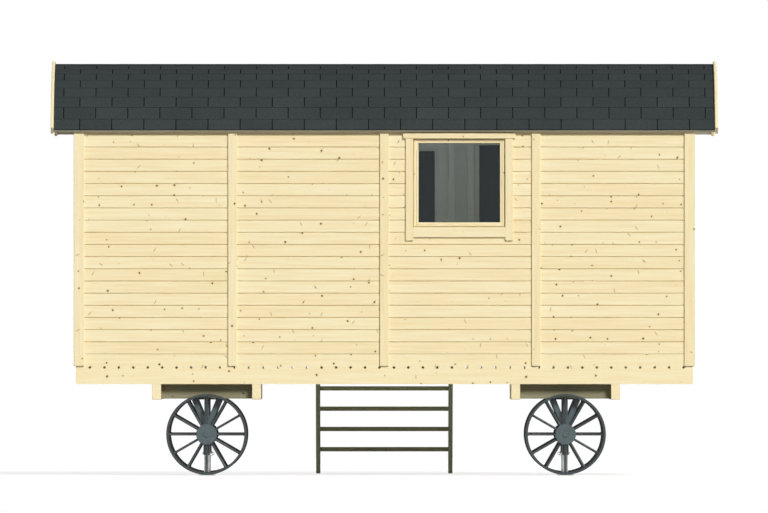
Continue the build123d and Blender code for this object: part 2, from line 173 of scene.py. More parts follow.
def add_node(tree: bpy.types.NodeTree, kind: str, inputs: dict[str | int, object] | None = None,
             **settings: object) -> bpy.types.Node:
    """Add a node to a tree with its settings, and set or link its inputs.

    Args:
        tree: Node tree of a material or the world.
        kind: Blender's name of the node, without the part "ShaderNode".
        inputs: Socket name or index to a value, or to another node's output.
        settings: Properties of the node itself.

    Returns:
        The new node.
    """
    node = tree.nodes.new(f"ShaderNode{kind}")
    for name, value in settings.items():
        setattr(node, name, value)
    for key, value in (inputs or {}).items():
        if isinstance(value, bpy.types.NodeSocket):
            tree.links.new(value, node.inputs[key])
        else:
            node.inputs[key].default_value = value
    return node


def new_material(name: str) -> tuple[bpy.types.Material, bpy.types.NodeTree]:
    """Make an empty node material.

    Args:
        name: The material's name.

    Returns:
        The material and its node tree.
    """
    material = bpy.data.materials.new(name)
    material.use_nodes = True
    material.node_tree.nodes.clear()
    return material, material.node_tree


def add_object(name: str, data: bpy.types.ID) -> bpy.types.Object:
    """Put a new object into the scene.

    Args:
        name: The object's name.
        data: Its mesh, lamp or camera.

    Returns:
        The new object.
    """
    added = bpy.data.objects.new(name, data)
    bpy.context.scene.collection.objects.link(added)
    return added


@dataclass(frozen=True)
class TimberFinish:
    """Sawn and planed softwood: long soft streaks, fine ring lines, small dark knots and slanted spike knots."""

    name: str
    pale: str
    warm: str
    ring: str
    knot: str = "#5E4008"
    halo: str = "#D3AC62"
    spike: str = "#8E6522"
    board_change_share: float = 0.28
    knot_share: float = 0.27
    roughness: float = 0.62
    specular: float = 0.3
    figure_detail: float = 3.0
    streak_length: float = 480 * MM
    streak_width: float = 26 * MM
    streak_range: tuple[float, float] = (0.36, 0.66)
    streak_share: float = 0.5
    ring_length: float = 420 * MM
    ring_width: float = 7 * MM
    ring_range: tuple[float, float] = (0.5, 0.78)
    ring_share: float = 0.36
    knot_spacing: float = 150 * MM
    knot_row: float = 88 * MM
    knot_radius: float = 8.6 * MM
    knot_edge: float = 1.2 * MM
    knot_scatter: float = 0.7
    halo_radii: float = 1.2
    halo_share: float = 0.4
    spike_width: float = 6.5 * MM
    spike_stretch: float = 4.5
    spike_share: float = 0.13
    spike_depth_share: float = 0.75
    spike_leans: tuple[float, float] = (math.radians(40), math.radians(140))
    relief: float = 0.35 * MM
    relief_strength: float = 0.6

    def material(self) -> bpy.types.Material:
        """Build the timber from the "grain" and "tone" that each board carries.

        The rings of slow-grown spruce are 2 mm apart, too fine to show here, so they are drawn 7 mm wide.

        Returns:
            The material.
        """
        material, tree = new_material(self.name)
        grain = add_node(tree, "Attribute", attribute_name="grain").outputs["Vector"]
        tone = add_node(tree, "Attribute", attribute_name="tone").outputs["Fac"]
        streak = self._figure(tree, grain, self.streak_length, self.streak_width)
        rings = self._figure(tree, grain, self.ring_length, self.ring_width)
        soft = add_node(tree, "MapRange", {
            "Value": streak, "From Min": self.streak_range[0], "From Max": self.streak_range[1],
        }).outputs[0]
        board = add_node(tree, "Math", {0: tone, 1: self.board_change_share}, operation="MULTIPLY").outputs[0]
        warmth = add_node(tree, "Math", {0: soft, 1: self.streak_share, 2: board}, operation="MULTIPLY_ADD").outputs[0]
        line = add_node(tree, "MapRange", {
            "Value": rings, "From Min": self.ring_range[0], "From Max": self.ring_range[1], "To Max": self.ring_share,
        }).outputs[0]
        knot, halo, spike = self._knots(tree, grain)
        colour: object = linear(self.pale)
        for share, code in ((warmth, self.warm), (line, self.ring), (halo, self.halo), (spike, self.spike),
                            (knot, self.knot)):
            blend = add_node(tree, "Mix", {0: share, MIX_FIRST: colour, MIX_SECOND: linear(code)}, data_type="RGBA")
            colour = blend.outputs[MIX_RESULT]
        height = add_node(tree, "Math", {0: rings, 1: knot}, operation="ADD").outputs[0]
        bump = add_node(tree, "Bump", {"Strength": self.relief_strength, "Distance": self.relief, "Height": height})
        shader = add_node(tree, "BsdfPrincipled", {
            "Base Color": colour, "Roughness": self.roughness, "Specular IOR Level": self.specular,
            "Normal": bump.outputs[0],
        })
        add_node(tree, "OutputMaterial", {"Surface": shader.outputs[0]})
        return material

    def _figure(self, tree: bpy.types.NodeTree, grain: bpy.types.NodeSocket, length: float,
                width: float) -> bpy.types.NodeSocket:
        """Draw marks that run along the grain.

        Args:
            tree: The material's nodes.
            grain: Place in the board: along, across and through it.
            length: Usual length of a mark.
            width: Usual width of a mark.

        Returns:
            A value from 0 to 1.
        """
        sizes = (1 / length, 1 / width, 1 / width)
        stretched = add_node(tree, "VectorMath", {0: grain, 1: sizes}, operation="MULTIPLY").outputs[0]
        marks = add_node(tree, "TexNoise", {"Vector": stretched, "Scale": 1.0, "Detail": self.figure_detail})
        return marks.outputs["Fac"]

    def _knots(self, tree: bpy.types.NodeTree, grain: bpy.types.NodeSocket) -> tuple[bpy.types.NodeSocket, ...]:
        """Scatter round knots and slanted spike knots over each board's face.

        Args:
            tree: The material's nodes.
            grain: Place in the board: along, across and through it.

        Returns:
            The share of the surface that is round knot, that of the discoloured wood round it, and spike knot.
        """
        pitch = (self.knot_spacing, self.knot_row, 0.0)
        cell = add_node(tree, "VectorMath", {0: grain, 1: pitch}, operation="DIVIDE").outputs[0]
        flat = add_node(tree, "VectorMath", {0: cell, 1: (1.0, 1.0, 0.0)}, operation="MULTIPLY").outputs[0]
        scatter = add_node(tree, "TexVoronoi", {"Vector": flat, "Scale": 1.0, "Randomness": self.knot_scatter},
                           voronoi_dimensions="2D")
        draw = add_node(tree, "SeparateColor", {0: scatter.outputs["Color"]})
        away = add_node(tree, "VectorMath", {0: flat, 1: scatter.outputs["Position"]}, operation="SUBTRACT")
        offset = add_node(tree, "VectorMath", {0: away.outputs[0], 1: pitch}, operation="MULTIPLY").outputs[0]
        distance = add_node(tree, "VectorMath", {0: offset}, operation="LENGTH").outputs["Value"]
        radius = add_node(tree, "MapRange", {
            "Value": draw.outputs[0], "From Min": 1 - self.knot_share, "From Max": 1.0,
            "To Min": -self.knot_edge, "To Max": self.knot_radius,
        }).outputs[0]
        inside = add_node(tree, "Math", {0: radius, 1: distance}, operation="SUBTRACT").outputs[0]
        edge = {"From Min": -self.knot_edge, "From Max": self.knot_edge}
        round_knot = add_node(tree, "MapRange", {"Value": inside, **edge}).outputs[0]
        around = {"From Min": -self.halo_radii * self.knot_radius, "From Max": 0.0, "To Max": self.halo_share}
        stained = add_node(tree, "MapRange", {"Value": inside, **around}).outputs[0]
        chosen = add_node(tree, "Math", {0: draw.outputs[0], 1: 1 - self.knot_share}, operation="GREATER_THAN")
        halo = add_node(tree, "Math", {0: stained, 1: chosen.outputs[0]}, operation="MULTIPLY").outputs[0]
        least, most = self.spike_leans
        lean = add_node(tree, "MapRange", {"Value": draw.outputs[2], "To Min": least, "To Max": most}).outputs[0]
        turned = add_node(tree, "VectorRotate", {"Vector": offset, "Angle": lean}, rotation_type="Z_AXIS")
        narrow = (1 / self.spike_stretch, 1.0, 0.0)
        slim = add_node(tree, "VectorMath", {0: turned.outputs[0], 1: narrow}, operation="MULTIPLY").outputs[0]
        reach = add_node(tree, "VectorMath", {0: slim}, operation="LENGTH").outputs["Value"]
        spike_edge = {"From Min": self.spike_width, "From Max": 0.0, "To Max": self.spike_depth_share}
        spike = add_node(tree, "MapRange", {"Value": reach, **spike_edge}).outputs[0]
        picked = add_node(tree, "Math", {0: draw.outputs[1], 1: self.spike_share}, operation="LESS_THAN").outputs[0]
        return round_knot, halo, add_node(tree, "Math", {0: spike, 1: picked}, operation="MULTIPLY").outputs[0]


@dataclass(frozen=True)
class ShingleFinish:
    """Bitumen shingle faced with crushed slate: matt, nearly black, speckled by the mineral grains."""

    name: str = "slate_faced_bitumen_shingle"
    dark: str = "#2E3435"
    light: str = "#484D4D"
    grit: float = 9 * MM
    grit_detail: float = 2.0
    grit_range: tuple[float, float] = (0.3, 0.7)
    grit_share: float = 0.5
    tab_share: float = 0.16
    patch: float = 420 * MM
    patch_share: float = 0.3
    relief: float = 1.2 * MM
    relief_strength: float = 0.7
    roughness: float = 0.92
    specular: float = 0.0

    def material(self) -> bpy.types.Material:
        """Build the mineral facing; its 1 mm grains are drawn 9 mm wide so that they show.

        Returns:
            The material.
        """
        material, tree = new_material(self.name)
        place = add_node(tree, "TexCoord").outputs["Object"]
        tone = add_node(tree, "Attribute", attribute_name="tone").outputs["Fac"]
        grit = {"Vector": place, "Scale": 1 / self.grit, "Detail": self.grit_detail}
        grains = add_node(tree, "TexNoise", grit).outputs["Fac"]
        patches = add_node(tree, "TexNoise", {"Vector": place, "Scale": 1 / self.patch}).outputs["Fac"]
        speckle = add_node(tree, "MapRange", {
            "Value": grains, "From Min": self.grit_range[0], "From Max": self.grit_range[1], "To Max": self.grit_share,
        }).outputs[0]
        tabs = add_node(tree, "Math", {0: tone, 1: self.tab_share, 2: speckle}, operation="MULTIPLY_ADD").outputs[0]
        share = add_node(tree, "Math", {0: patches, 1: self.patch_share, 2: tabs}, operation="MULTIPLY_ADD").outputs[0]
        colours = {MIX_FIRST: linear(self.dark), MIX_SECOND: linear(self.light)}
        colour = add_node(tree, "Mix", {0: share, **colours}, data_type="RGBA").outputs[MIX_RESULT]
        bump = add_node(tree, "Bump", {"Strength": self.relief_strength, "Distance": self.relief, "Height": grains})
        shader = add_node(tree, "BsdfPrincipled", {
            "Base Color": colour, "Roughness": self.roughness, "Specular IOR Level": self.specular,
            "Normal": bump.outputs[0],
        })
        add_node(tree, "OutputMaterial", {"Surface": shader.outputs[0]})
        return material


@dataclass(frozen=True)
class SteelFinish:
    """Steel with a thin coat: satin paint or bright zinc, slightly uneven in gloss and colour."""

    name: str
    base: str
    worn: str
    metallic: float
    roughness: float
    patch: float = 60 * MM
    patch_detail: float = 4.0
    patch_range: tuple[float, float] = (0.35, 0.7)
    gloss_change: tuple[float, float] = (-0.08, 0.12)
    texture: float = 4 * MM
    relief: float = 0.3 * MM
    relief_strength: float = 0.15

    def material(self) -> bpy.types.Material:
        """Build the coat with cloudy colour, uneven gloss and a little orange peel.

        Orange peel is 1 to 2 mm across, too fine to show here, so it is drawn 4 mm wide.

        Returns:
            The material.
        """
        material, tree = new_material(self.name)
        place = add_node(tree, "TexCoord").outputs["Object"]
        cloud = {"Vector": place, "Scale": 1 / self.patch, "Detail": self.patch_detail}
        clouds = add_node(tree, "TexNoise", cloud).outputs["Fac"]
        peel = add_node(tree, "TexNoise", {"Vector": place, "Scale": 1 / self.texture}).outputs["Fac"]
        share = add_node(tree, "MapRange", {
            "Value": clouds, "From Min": self.patch_range[0], "From Max": self.patch_range[1],
        }).outputs[0]
        colours = {MIX_FIRST: linear(self.base), MIX_SECOND: linear(self.worn)}
        colour = add_node(tree, "Mix", {0: share, **colours}, data_type="RGBA").outputs[MIX_RESULT]
        smoothest, dullest = (self.roughness + change for change in self.gloss_change)
        gloss = add_node(tree, "MapRange", {"Value": clouds, "To Min": smoothest, "To Max": dullest}).outputs[0]
        bump = add_node(tree, "Bump", {"Strength": self.relief_strength, "Distance": self.relief, "Height": peel})
        shader = add_node(tree, "BsdfPrincipled", {
            "Base Color": colour, "Metallic": self.metallic, "Roughness": gloss, "Normal": bump.outputs[0],
        })
        add_node(tree, "OutputMaterial", {"Surface": shader.outputs[0]})
        return material


@dataclass(frozen=True)
class GlassFinish:
    """Grey float glass: it darkens what is behind it and keeps only a faint mirror."""

    name: str = "grey_float_glass"
    tint: str = "#646B6D"
    # Lower than the 1.52 of real glass: matched to the object, whose panes hardly mirror anything.
    ior: float = 1.27
    roughness: float = 0.0

    def material(self) -> bpy.types.Material:
        """Build the pane, which lets lamps through by a straight way so that the room is lit.

        Returns:
            The material.
        """
        material, tree = new_material(self.name)
        shader = add_node(tree, "BsdfPrincipled", {
            "Base Color": linear(self.tint), "Roughness": self.roughness, "IOR": self.ior, "Transmission Weight": 1.0,
        })
        clear = add_node(tree, "BsdfTransparent", {"Color": linear(self.tint)})
        lamp_ray = add_node(tree, "LightPath").outputs["Is Shadow Ray"]
        mix = add_node(tree, "MixShader", {0: lamp_ray, 1: shader.outputs[0], 2: clear.outputs[0]})
        add_node(tree, "OutputMaterial", {"Surface": mix.outputs[0]})
        return material


@dataclass(frozen=True)
class RubberFinish:
    """Extruded black rubber: dull, with faint dust."""

    name: str = "extruded_black_rubber"
    base: str = "#1C1C1B"
    dust: str = "#34322D"
    patch: float = 15 * MM
    roughness: float = 0.7

    def material(self) -> bpy.types.Material:
        """Build the rubber with a little dust.

        Returns:
            The material.
        """
        material, tree = new_material(self.name)
        place = add_node(tree, "TexCoord").outputs["Object"]
        dust = add_node(tree, "TexNoise", {"Vector": place, "Scale": 1 / self.patch}).outputs["Fac"]
        colours = {MIX_FIRST: linear(self.base), MIX_SECOND: linear(self.dust)}
        colour = add_node(tree, "Mix", {0: dust, **colours}, data_type="RGBA").outputs[MIX_RESULT]
        shader = add_node(tree, "BsdfPrincipled", {"Base Color": colour, "Roughness": self.roughness})
        add_node(tree, "OutputMaterial", {"Surface": shader.outputs[0]})
        return material


class Finishes:
    """Every material of the hut, made once."""

    def __init__(self) -> None:
        """Make the materials."""
        # Planed spruce left bare is cream, with honey streaks; heavy beams and trim are a shade paler than boards.
        self.boards = TimberFinish("planed_spruce_boards", "#F7EAC2", "#EDD8A4", "#DDC48B").material()
        self.beams = TimberFinish("planed_spruce_beams", "#F8EBC3", "#F0DDAA", "#DEC58D").material()
        self.trim = TimberFinish("planed_spruce_trim", "#F5E7BE", "#EDD9A6", "#DCC48C", knot_share=0.2,
                                 spike_share=0.06).material()
        # The flooring has a deeper honey than the boarding.
        self.floor = TimberFinish("planed_spruce_flooring", "#EDD9AA", "#DFC389", "#C9A970").material()
        # Sawn spruce roof boards, greyer and darker than the planed boards: painted shade for their shaded edge at the
        # eaves. Their saw marks make them duller than planed wood.
        self.lining = TimberFinish("sawn_spruce_roof_boards", "#BDBCAA", "#AFAB97", "#9A9580", spike="#837C66",
                                   roughness=0.8).material()
        # Limewash dries to a chalky white through which the boards' figure just shows.
        self.limewash = TimberFinish("limewashed_spruce_boards", "#E3E3DC", "#D6D6CE", "#C6C5BB", knot="#B2ADA0",
                                     halo="#D3D1C6", spike="#C2BDB0", roughness=0.85).material()
        # The limewashed joinery is a shade whiter than the boards.
        self.whitened = TimberFinish("limewashed_spruce_joinery", "#EFEEE7", "#E5E4DB", "#DAD8CD", knot="#BDB8AA",
                                     halo="#E1DED3", spike="#D1CCBE", roughness=0.85).material()
        # Pine impregnated under pressure turns a greyish olive, and hides most of its figure.
        self.treated = TimberFinish("impregnated_pine_stairs", "#C2C9A7", "#B1B793", "#999F7B", knot="#57553E",
                                    halo="#949672", spike="#7B795A", knot_share=0.2, roughness=0.7).material()
        # The rails are the stairs' impregnated pine made browner and darker: painted shade for the shade under the hut.
        self.rails = TimberFinish("impregnated_pine_rails", "#908C70", "#827E62", "#6F6B50", knot="#3A3726",
                                  halo="#5F5C46", spike="#4E4B36", knot_share=0.2, roughness=0.7).material()
        self.shingle = ShingleFinish().material()
        # The bitumen itself, where it shows at cut edges and between the tabs, is black and without grains.
        self.bitumen = ShingleFinish("bare_bitumen_felt", "#101212", "#1A1D1D").material()
        # The ridge caps are a shade darker than the tabs: painted shade for the dark line along the crown.
        self.ridge = ShingleFinish("slate_faced_ridge_caps", "#2A3031", "#434848").material()
        self.glass = GlassFinish().material()
        self.rubber = RubberFinish().material()
        # Satin paint over rolled steel: a blue grey with a broad soft highlight.
        # The rim and spokes take a darker copy of the hub's paint: painted shade for their shade under the hut.
        self.wheel_paint = SteelFinish("satin_grey_wheel_paint", "#2F3739", "#272E30", metallic=0.0,
                                       roughness=0.45).material()
        self.hub_paint = SteelFinish("satin_grey_hub_paint", "#4B595C", "#434F52", metallic=0.0,
                                     roughness=0.42).material()
        # Zinc plating on steel mirrors softly, with a dull bloom.
        self.zinc = SteelFinish("zinc_plated_steel", "#C6CBC9", "#B0B6B4", metallic=1.0,
                                roughness=0.3).material()


class Piece:
    """Collects lofted solids and turns them into one named mesh of the hut."""

    def __init__(self, name: str) -> None:
        """Start an empty piece, with random draws that follow from its name.

        Args:
            name: The piece's name.
        """
        self.name = name
        self.corners: list[tuple[Vector, Vector, float]] = []
        self.faces: list[tuple[tuple[int, ...], bool, int]] = []
        self.held: tuple[Vector, float] | None = None
        self.draw = random.Random(name)

    def hold_figure(self) -> None:
        """Let the solids that follow share one wood figure, as parts of one beam."""
        self.held = self.new_figure()

    def new_figure(self) -> tuple[Vector, float]:
        """Draw where a board's wood figure starts, and its tone."""
        shift = Vector([self.draw.uniform(0.0, reach) for reach in FIGURE_SPREAD])
        return shift, self.draw.random()

    def loft(self, rings: Sequence[Ring], fibres: tuple[Vector, Vector] = (Axis.X.unit, Axis.Z.unit),
             places: Sequence[Ring] | None = None, loop: bool = False, smooth: bool = False,
             start_finish: int = 0) -> None:
        """Skin a run of rings into a closed solid that carries its own wood figure.

        Args:
            rings: Rings of points, all with as many points.
            fibres: Directions along the wood's fibres and across its wide face.
            places: Places in the wood for bent boards, in the order of the rings.
            loop: Join the last ring to the first instead of closing both ends.
            smooth: Shade the sides as round.
            start_finish: Number of the finish on the first end.
        """
        base, count = len(self.corners), len(rings[0])
        joints = len(rings) if loop else len(rings) - 1
        for step in range(joints):
            near, far = base + step * count, base + (step + 1) % len(rings) * count
            for index in range(count):
                after = (index + 1) % count
                self.faces.append(((near + index, near + after, far + after, far + index), smooth, 0))
        if not loop:
            last = base + joints * count
            self.faces.append((tuple(range(base, base + count)), False, start_finish))
            self.faces.append((tuple(range(last, last + count)), False, 0))
        shift, tone = self.held or self.new_figure()
        along, across = fibres
        axes = along, across, along.cross(across)
        for ring, spots in zip(rings, places or rings):
            for point, spot in zip(ring, spots):
                spot = spot if places else Vector([point.dot(axis) for axis in axes])
                self.corners.append((point, spot + shift, tone))

    def plank(self, start: Vector, end: Vector, across: Vector, width: float, thickness: float,
              chamfer: float) -> None:
        """Add a straight board with every edge chamfered.

        Args:
            start: Middle of one end.
            end: Middle of the other end.
            across: Direction of the width.
            width: Width of the board.
            thickness: Thickness of the board.
            chamfer: Size of the chamfer.
        """
        along = (end - start).normalized()
        through = along.cross(across).normalized()
        edge = min(chamfer, width / CHAMFER_PART, thickness / CHAMFER_PART)
        rings = []
        for middle, inset in ((start, edge), (start + along * edge, 0.0), (end - along * edge, 0.0), (end, edge)):
            half, depth = width / 2 - inset, thickness / 2 - inset
            corners = [(half, depth - edge), (half - edge, depth), (edge - half, depth), (-half, depth - edge),
                       (-half, edge - depth), (edge - half, -depth), (half - edge, -depth), (half, edge - depth)]
            rings.append([middle + across * wide + through * deep for wide, deep in corners])
        self.loft(rings, (along, across if width >= thickness else through))

    def box(self, low: Vector, high: Vector) -> None:
        """Add a stretch of beam along X that fills a box, with sharp edges so that it joins its neighbours."""
        corners = ((low.y, low.z), (high.y, low.z), (high.y, high.z), (low.y, high.z))
        self.loft([[Vector((x, y, z)) for y, z in corners] for x in (low.x, high.x)])

    def bar(self, low: Vector, high: Vector, along: Axis, chamfer: float) -> None:
        """Add a board that fills a box, with its grain along an axis.

        Args:
            low: Lowest corner.
            high: Highest corner.
            along: Axis of the grain.
            chamfer: Size of the chamfer.
        """
        middle, size = (low + high) / 2, high - low
        across, through = (Axis((along.value + step) % len(Axis)) for step in (1, 2))
        reach = along.unit * size[along.value] / 2
        self.plank(middle - reach, middle + reach, across.unit, size[across.value], size[through.value], chamfer)

    def bars(self, node: str, along: Axis, chamfer: float) -> None:
        """Fill the box of each solid of a CAD node with a board, its grain along an axis."""
        for low, high in solids(node):
            self.bar(low, high, along, chamfer)

    def rays(self, axis: Vector, count: int, twist: float = 0.0) -> Ring:
        """Spread unit rays evenly round an axis.

        Args:
            axis: Unit direction of the axis.
            count: Number of rays.
            twist: Turn of the first ray.

        Returns:
            The rays, in order.
        """
        first = (Axis.Z.unit if abs(axis.x) > LENGTHWISE else Axis.X.unit).cross(axis).normalized().cross(axis)
        second = axis.cross(first)
        turns = [twist + math.tau * index / count for index in range(count)]
        return [first * math.cos(turn) + second * math.sin(turn) for turn in turns]

    def turned(self, start: Vector, axis: Vector, profile: Iterable[tuple[float, float]], sides: int,
               twist: float = 0.0, smooth: bool = True) -> None:
        """Add a solid of revolution.

        Args:
            start: Point on the axis where heights begin.
            axis: Direction of the axis.
            profile: Radius and height of each ring.
            sides: Number of sides.
            twist: Turn of the first corner about the axis.
            smooth: Shade the sides as round.
        """
        axis = axis.normalized()
        rays = self.rays(axis, sides, twist)
        self.loft([[start + axis * height + ray * radius for ray in rays] for radius, height in profile], smooth=smooth)

    def hoop(self, centre: Vector, axis: Vector, section: Sequence[tuple[float, float]], steps: int) -> None:
        """Add a closed hoop of straight steps; its section lists the radius and height of each corner."""
        self.loft([[centre + ray * radius + axis * height for radius, height in section]
                   for ray in self.rays(axis, steps)], loop=True)

    def tube(self, start: Vector, end: Vector, radius: float, sides: int = 24, edge: float = 1.5 * MM) -> None:
        """Add a round bar with eased ends.

        Args:
            start: Middle of one end.
            end: Middle of the other end.
            radius: Radius of the bar.
            sides: Number of sides.
            edge: Size of the easing.
        """
        length = (end - start).length
        profile = [(radius - edge, 0.0), (radius, edge), (radius, length - edge), (radius - edge, length)]
        self.turned(start, end - start, profile, sides)

    def place(self, body: str, slot: str | None, finishes: Sequence[bpy.types.Material], *nodes: str,
              room: Vector | None = None) -> bpy.types.Object:
        """Make the mesh, dress it and hang it on its body.

        Args:
            body: CAD body that the piece rides on.
            slot: The record's material slot, or None for a small fitting that has none; not used.
            finishes: Finishes of the piece, in the order of their numbers.
            nodes: CAD nodes that it stands for.
            room: Direction of the room, where the faces towards it take the last finish.

        Returns:
            The new object.
        """
        mesh = bpy.data.meshes.new(self.name)
        mesh.from_pydata([point for point, _, _ in self.corners], [], [face for face, _, _ in self.faces])
        mesh.polygons.foreach_set("use_smooth", [smooth for _, smooth, _ in self.faces])
        mesh.polygons.foreach_set("material_index", [finish for _, _, finish in self.faces])
        places = mesh.attributes.new("grain", "FLOAT_VECTOR", "POINT")
        places.data.foreach_set("vector", [value for _, grain, _ in self.corners for value in grain])
        mesh.attributes.new("tone", "FLOAT", "POINT").data.foreach_set("value", [tone for _, _, tone in self.corners])
        for finish in finishes:
            mesh.materials.append(finish)
        shape = bmesh.new()
        shape.from_mesh(mesh)
        bmesh.ops.recalc_face_normals(shape, faces=shape.faces)
        if room:
            for face in shape.faces:
                if face.normal.dot(room) > FACING:
                    face.material_index = len(finishes) - 1
        shape.to_mesh(mesh)
        shape.free()
        piece = add_object(self.name, mesh)
        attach(piece, body)
        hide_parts(*nodes)
        LOG.info("%s: %d faces on %s", self.name, len(self.faces), body)
        return piece


@dataclass
class Arch:
    """The roof's arch, read from the covering."""

    deck_thickness: float = 28 * MM

    def __post_init__(self) -> None:
        """Work out the circle through the eaves and the crown."""
        low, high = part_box("roof_covering")
        self.ridge = (low.y + high.y) / 2
        eave = max(node_points("roof_covering"), key=lambda point: point.y)
        rise, half = high.z - eave.z, eave.y - self.ridge
        self.radius = (half**2 + rise**2) / (2 * rise)
        self.centre = high.z - self.radius
        self.eave_turn = math.asin(half / self.radius)
        self.start, self.stop = low.x, high.x
        self.deck_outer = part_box("roof_deck")[1].z - self.centre
        self.deck_inner = self.deck_outer - self.deck_thickness

    def point(self, x: float, turn: float, radius: float) -> Vector:
        """Return the point at an angle from the crown, positive towards the back."""
        return Vector((x, self.ridge + radius * math.sin(turn), self.centre + radius * math.cos(turn)))

    def sweep(self, reach: float, steps: int) -> list[float]:
        """Return angles in even steps from one side of the crown to the other."""
        return [reach * (2 * step / steps - 1) for step in range(steps + 1)]

    def ceiling(self, y: float) -> float:
        """Return the height of the deck's underside over a place across the hut."""
        return self.centre + math.sqrt(max(0.0, self.deck_inner**2 - (y - self.ridge) ** 2))

    def half_width(self, z: float) -> float:
        """Return half the width under the deck at a height."""
        return math.sqrt(max(0.0, self.deck_inner**2 - (z - self.centre) ** 2))


def cut_out(board: Rectangle, hole: Rectangle) -> list[Rectangle]:
    """Cut a rectangular hole out of a rectangular board.

    Args:
        board: Left, bottom, right and top.
        hole: Left, bottom, right and top.

    Returns:
        What is left: beside, under and over the hole.
    """
    left, bottom, right, top = board
    hole_left, hole_bottom, hole_right, hole_top = hole
    if hole_right <= left or hole_left >= right or hole_top <= bottom or hole_bottom >= top:
        return [board]
    inner_left, inner_right = max(left, hole_left), min(right, hole_right)
    rest = [(left, bottom, inner_left, top), (inner_right, bottom, right, top),
            (inner_left, bottom, inner_right, hole_bottom), (inner_left, hole_top, inner_right, top)]
    return [(a, b, c, d) for a, b, c, d in rest if c - a > MM and d - b > MM]


@dataclass
class Cladding:
    """The walls: horizontal tongued boards, with a small open joint outside and a tight one inside."""

    arch: Arch
    finishes: Finishes
    board_height: float = 104.6 * MM
    joint: float = 4 * MM
    chamfer: float = 3 * MM
    shoulder: float = 11 * MM
    tight_joint: float = 0.8 * MM
    bay_width: float = 1304 * MM
    crown_gap: float = 6 * MM
    arc_steps: int = 6
    least_squeeze: float = 0.05

    def build(self) -> None:
        """Make the four walls."""
        self.long_wall(Side.FRONT, ["front_wall_left", "front_wall_window_bay", "front_wall_right"],
                       [self.opening("front_window_sash", 0)])
        self.long_wall(Side.BACK, ["back_wall_left", "back_wall_right", "back_wall_over_door"],
                       [self.opening("back_window_sashes", 0), self.opening("back_window_sashes", 1),
                        self.opening("door_frame", 0)])
        self.end_wall(End.LEFT, "left_end_wall")
        self.end_wall(End.RIGHT, "right_end_wall")

    def opening(self, node: str, index: int) -> Rectangle:
        """Return the rectangle that a sash or frame fills in its wall."""
        low, high = solids(node)[index]
        return low.x, low.z, high.x, high.z

    def rows(self, bottom: float, top: float) -> list[tuple[float, float]]:
        """Divide a wall's height into courses of boards.

        Args:
            bottom: Lower end of the wall.
            top: Upper end of the wall.

        Returns:
            The bottom and top of each course.
        """
        count = math.ceil((top - bottom) / self.board_height)
        return [(bottom + row * self.board_height, min(top, bottom + (row + 1) * self.board_height))
                for row in range(count)]

    def board(self, piece: Piece, outline: Sequence[tuple[float, float]], thickness: float, grain: Axis,
              at: Callable[[float, float, float], Vector]) -> None:
        """Add one tongued board.

        Args:
            piece: Piece that gets the board.
            outline: Corners along the wall and up.
            thickness: Thickness of the wall.
            grain: Axis along the wall.
            at: Turns a place along the wall, into it and up into a point.
        """
        heights = [height for _, height in outline]
        middle, half = (min(heights) + max(heights)) / 2, (max(heights) - min(heights)) / 2
        steps = [(0.0, self.joint / 2 + self.chamfer), (self.chamfer, self.joint / 2),
                 (self.shoulder, self.joint / 2), (self.shoulder, 0.0)]
        steps += [(thickness - self.tight_joint, 0.0), (thickness, self.tight_joint)]
        rings = []
        for depth, inset in steps:
            squeeze = max(self.least_squeeze, 1 - inset / half)
            rings.append([at(along, depth, middle + (height - middle) * squeeze) for along, height in outline])
        piece.loft(rings, (grain.unit, Axis.Z.unit))

    def long_wall(self, side: Side, nodes: list[str], holes: list[Rectangle]) -> None:
        """Make a long wall between the corners, cut round its windows and door.

        Args:
            side: Which long side.
            nodes: CAD nodes of that wall.
            holes: Openings in it.
        """
        boxes = [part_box(node) for node in nodes]
        low = Vector(map(min, *[box[0] for box in boxes]))
        high = Vector(map(max, *[box[1] for box in boxes]))
        face, thickness = side.outer(low, high), high.y - low.y

        def at(along: float, depth: float, height: float) -> Vector:
            """Place a corner, no higher than the deck over it."""
            y = face - side.value * depth
            return Vector((along, y, min(height, self.arch.ceiling(y))))

        joints = [-self.bay_width, 0.0, self.bay_width] if side is Side.FRONT else []
        edges = [low.x, *joints, high.x]
        piece = Piece(f"{side.name.lower()}_boarding")
        for bottom, top in self.rows(low.z, high.z):
            for left, right in zip(edges, edges[1:]):
                boards = [(left, bottom, right, top)]
                for hole in holes:
                    boards = [part for board in boards for part in cut_out(board, hole)]
                for a, b, c, d in boards:
                    self.board(piece, [(a, b), (c, b), (c, d), (a, d)], thickness, Axis.X, at)
        piece.place("cabin", "spruce_boards", (self.finishes.boards, self.finishes.limewash), *nodes,
                    room=-side.value * Axis.Y.unit)

    def end_wall(self, end: End, node: str) -> None:
        """Make an end wall, whose upper boards follow the roof.

        Args:
            end: Which end.
            node: CAD node of that wall.
        """
        low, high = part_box(node)
        face, half = end.outer(low, high), (high.y - low.y) / 2
        top = self.arch.centre + self.arch.deck_inner - self.crown_gap

        def at(along: float, depth: float, height: float) -> Vector:
            """Place a corner on this end."""
            return Vector((face - end.value * depth, along, height))

        piece = Piece(f"{end.name.lower()}_end_boarding")
        for bottom, upper in self.rows(low.z, top):
            heights = [bottom + (upper - bottom) * step / self.arc_steps for step in range(self.arc_steps + 1)]
            widths = [min(half, self.arch.half_width(height)) for height in heights]
            right = [(self.arch.ridge + width, height) for width, height in zip(widths, heights)]
            left = [(self.arch.ridge - width, height) for width, height in zip(widths, heights)]
            self.board(piece, right + left[::-1], high.x - low.x, Axis.Y, at)
        piece.place("cabin", "spruce_boards", (self.finishes.boards, self.finishes.limewash), node,
                    room=-end.value * Axis.X.unit)


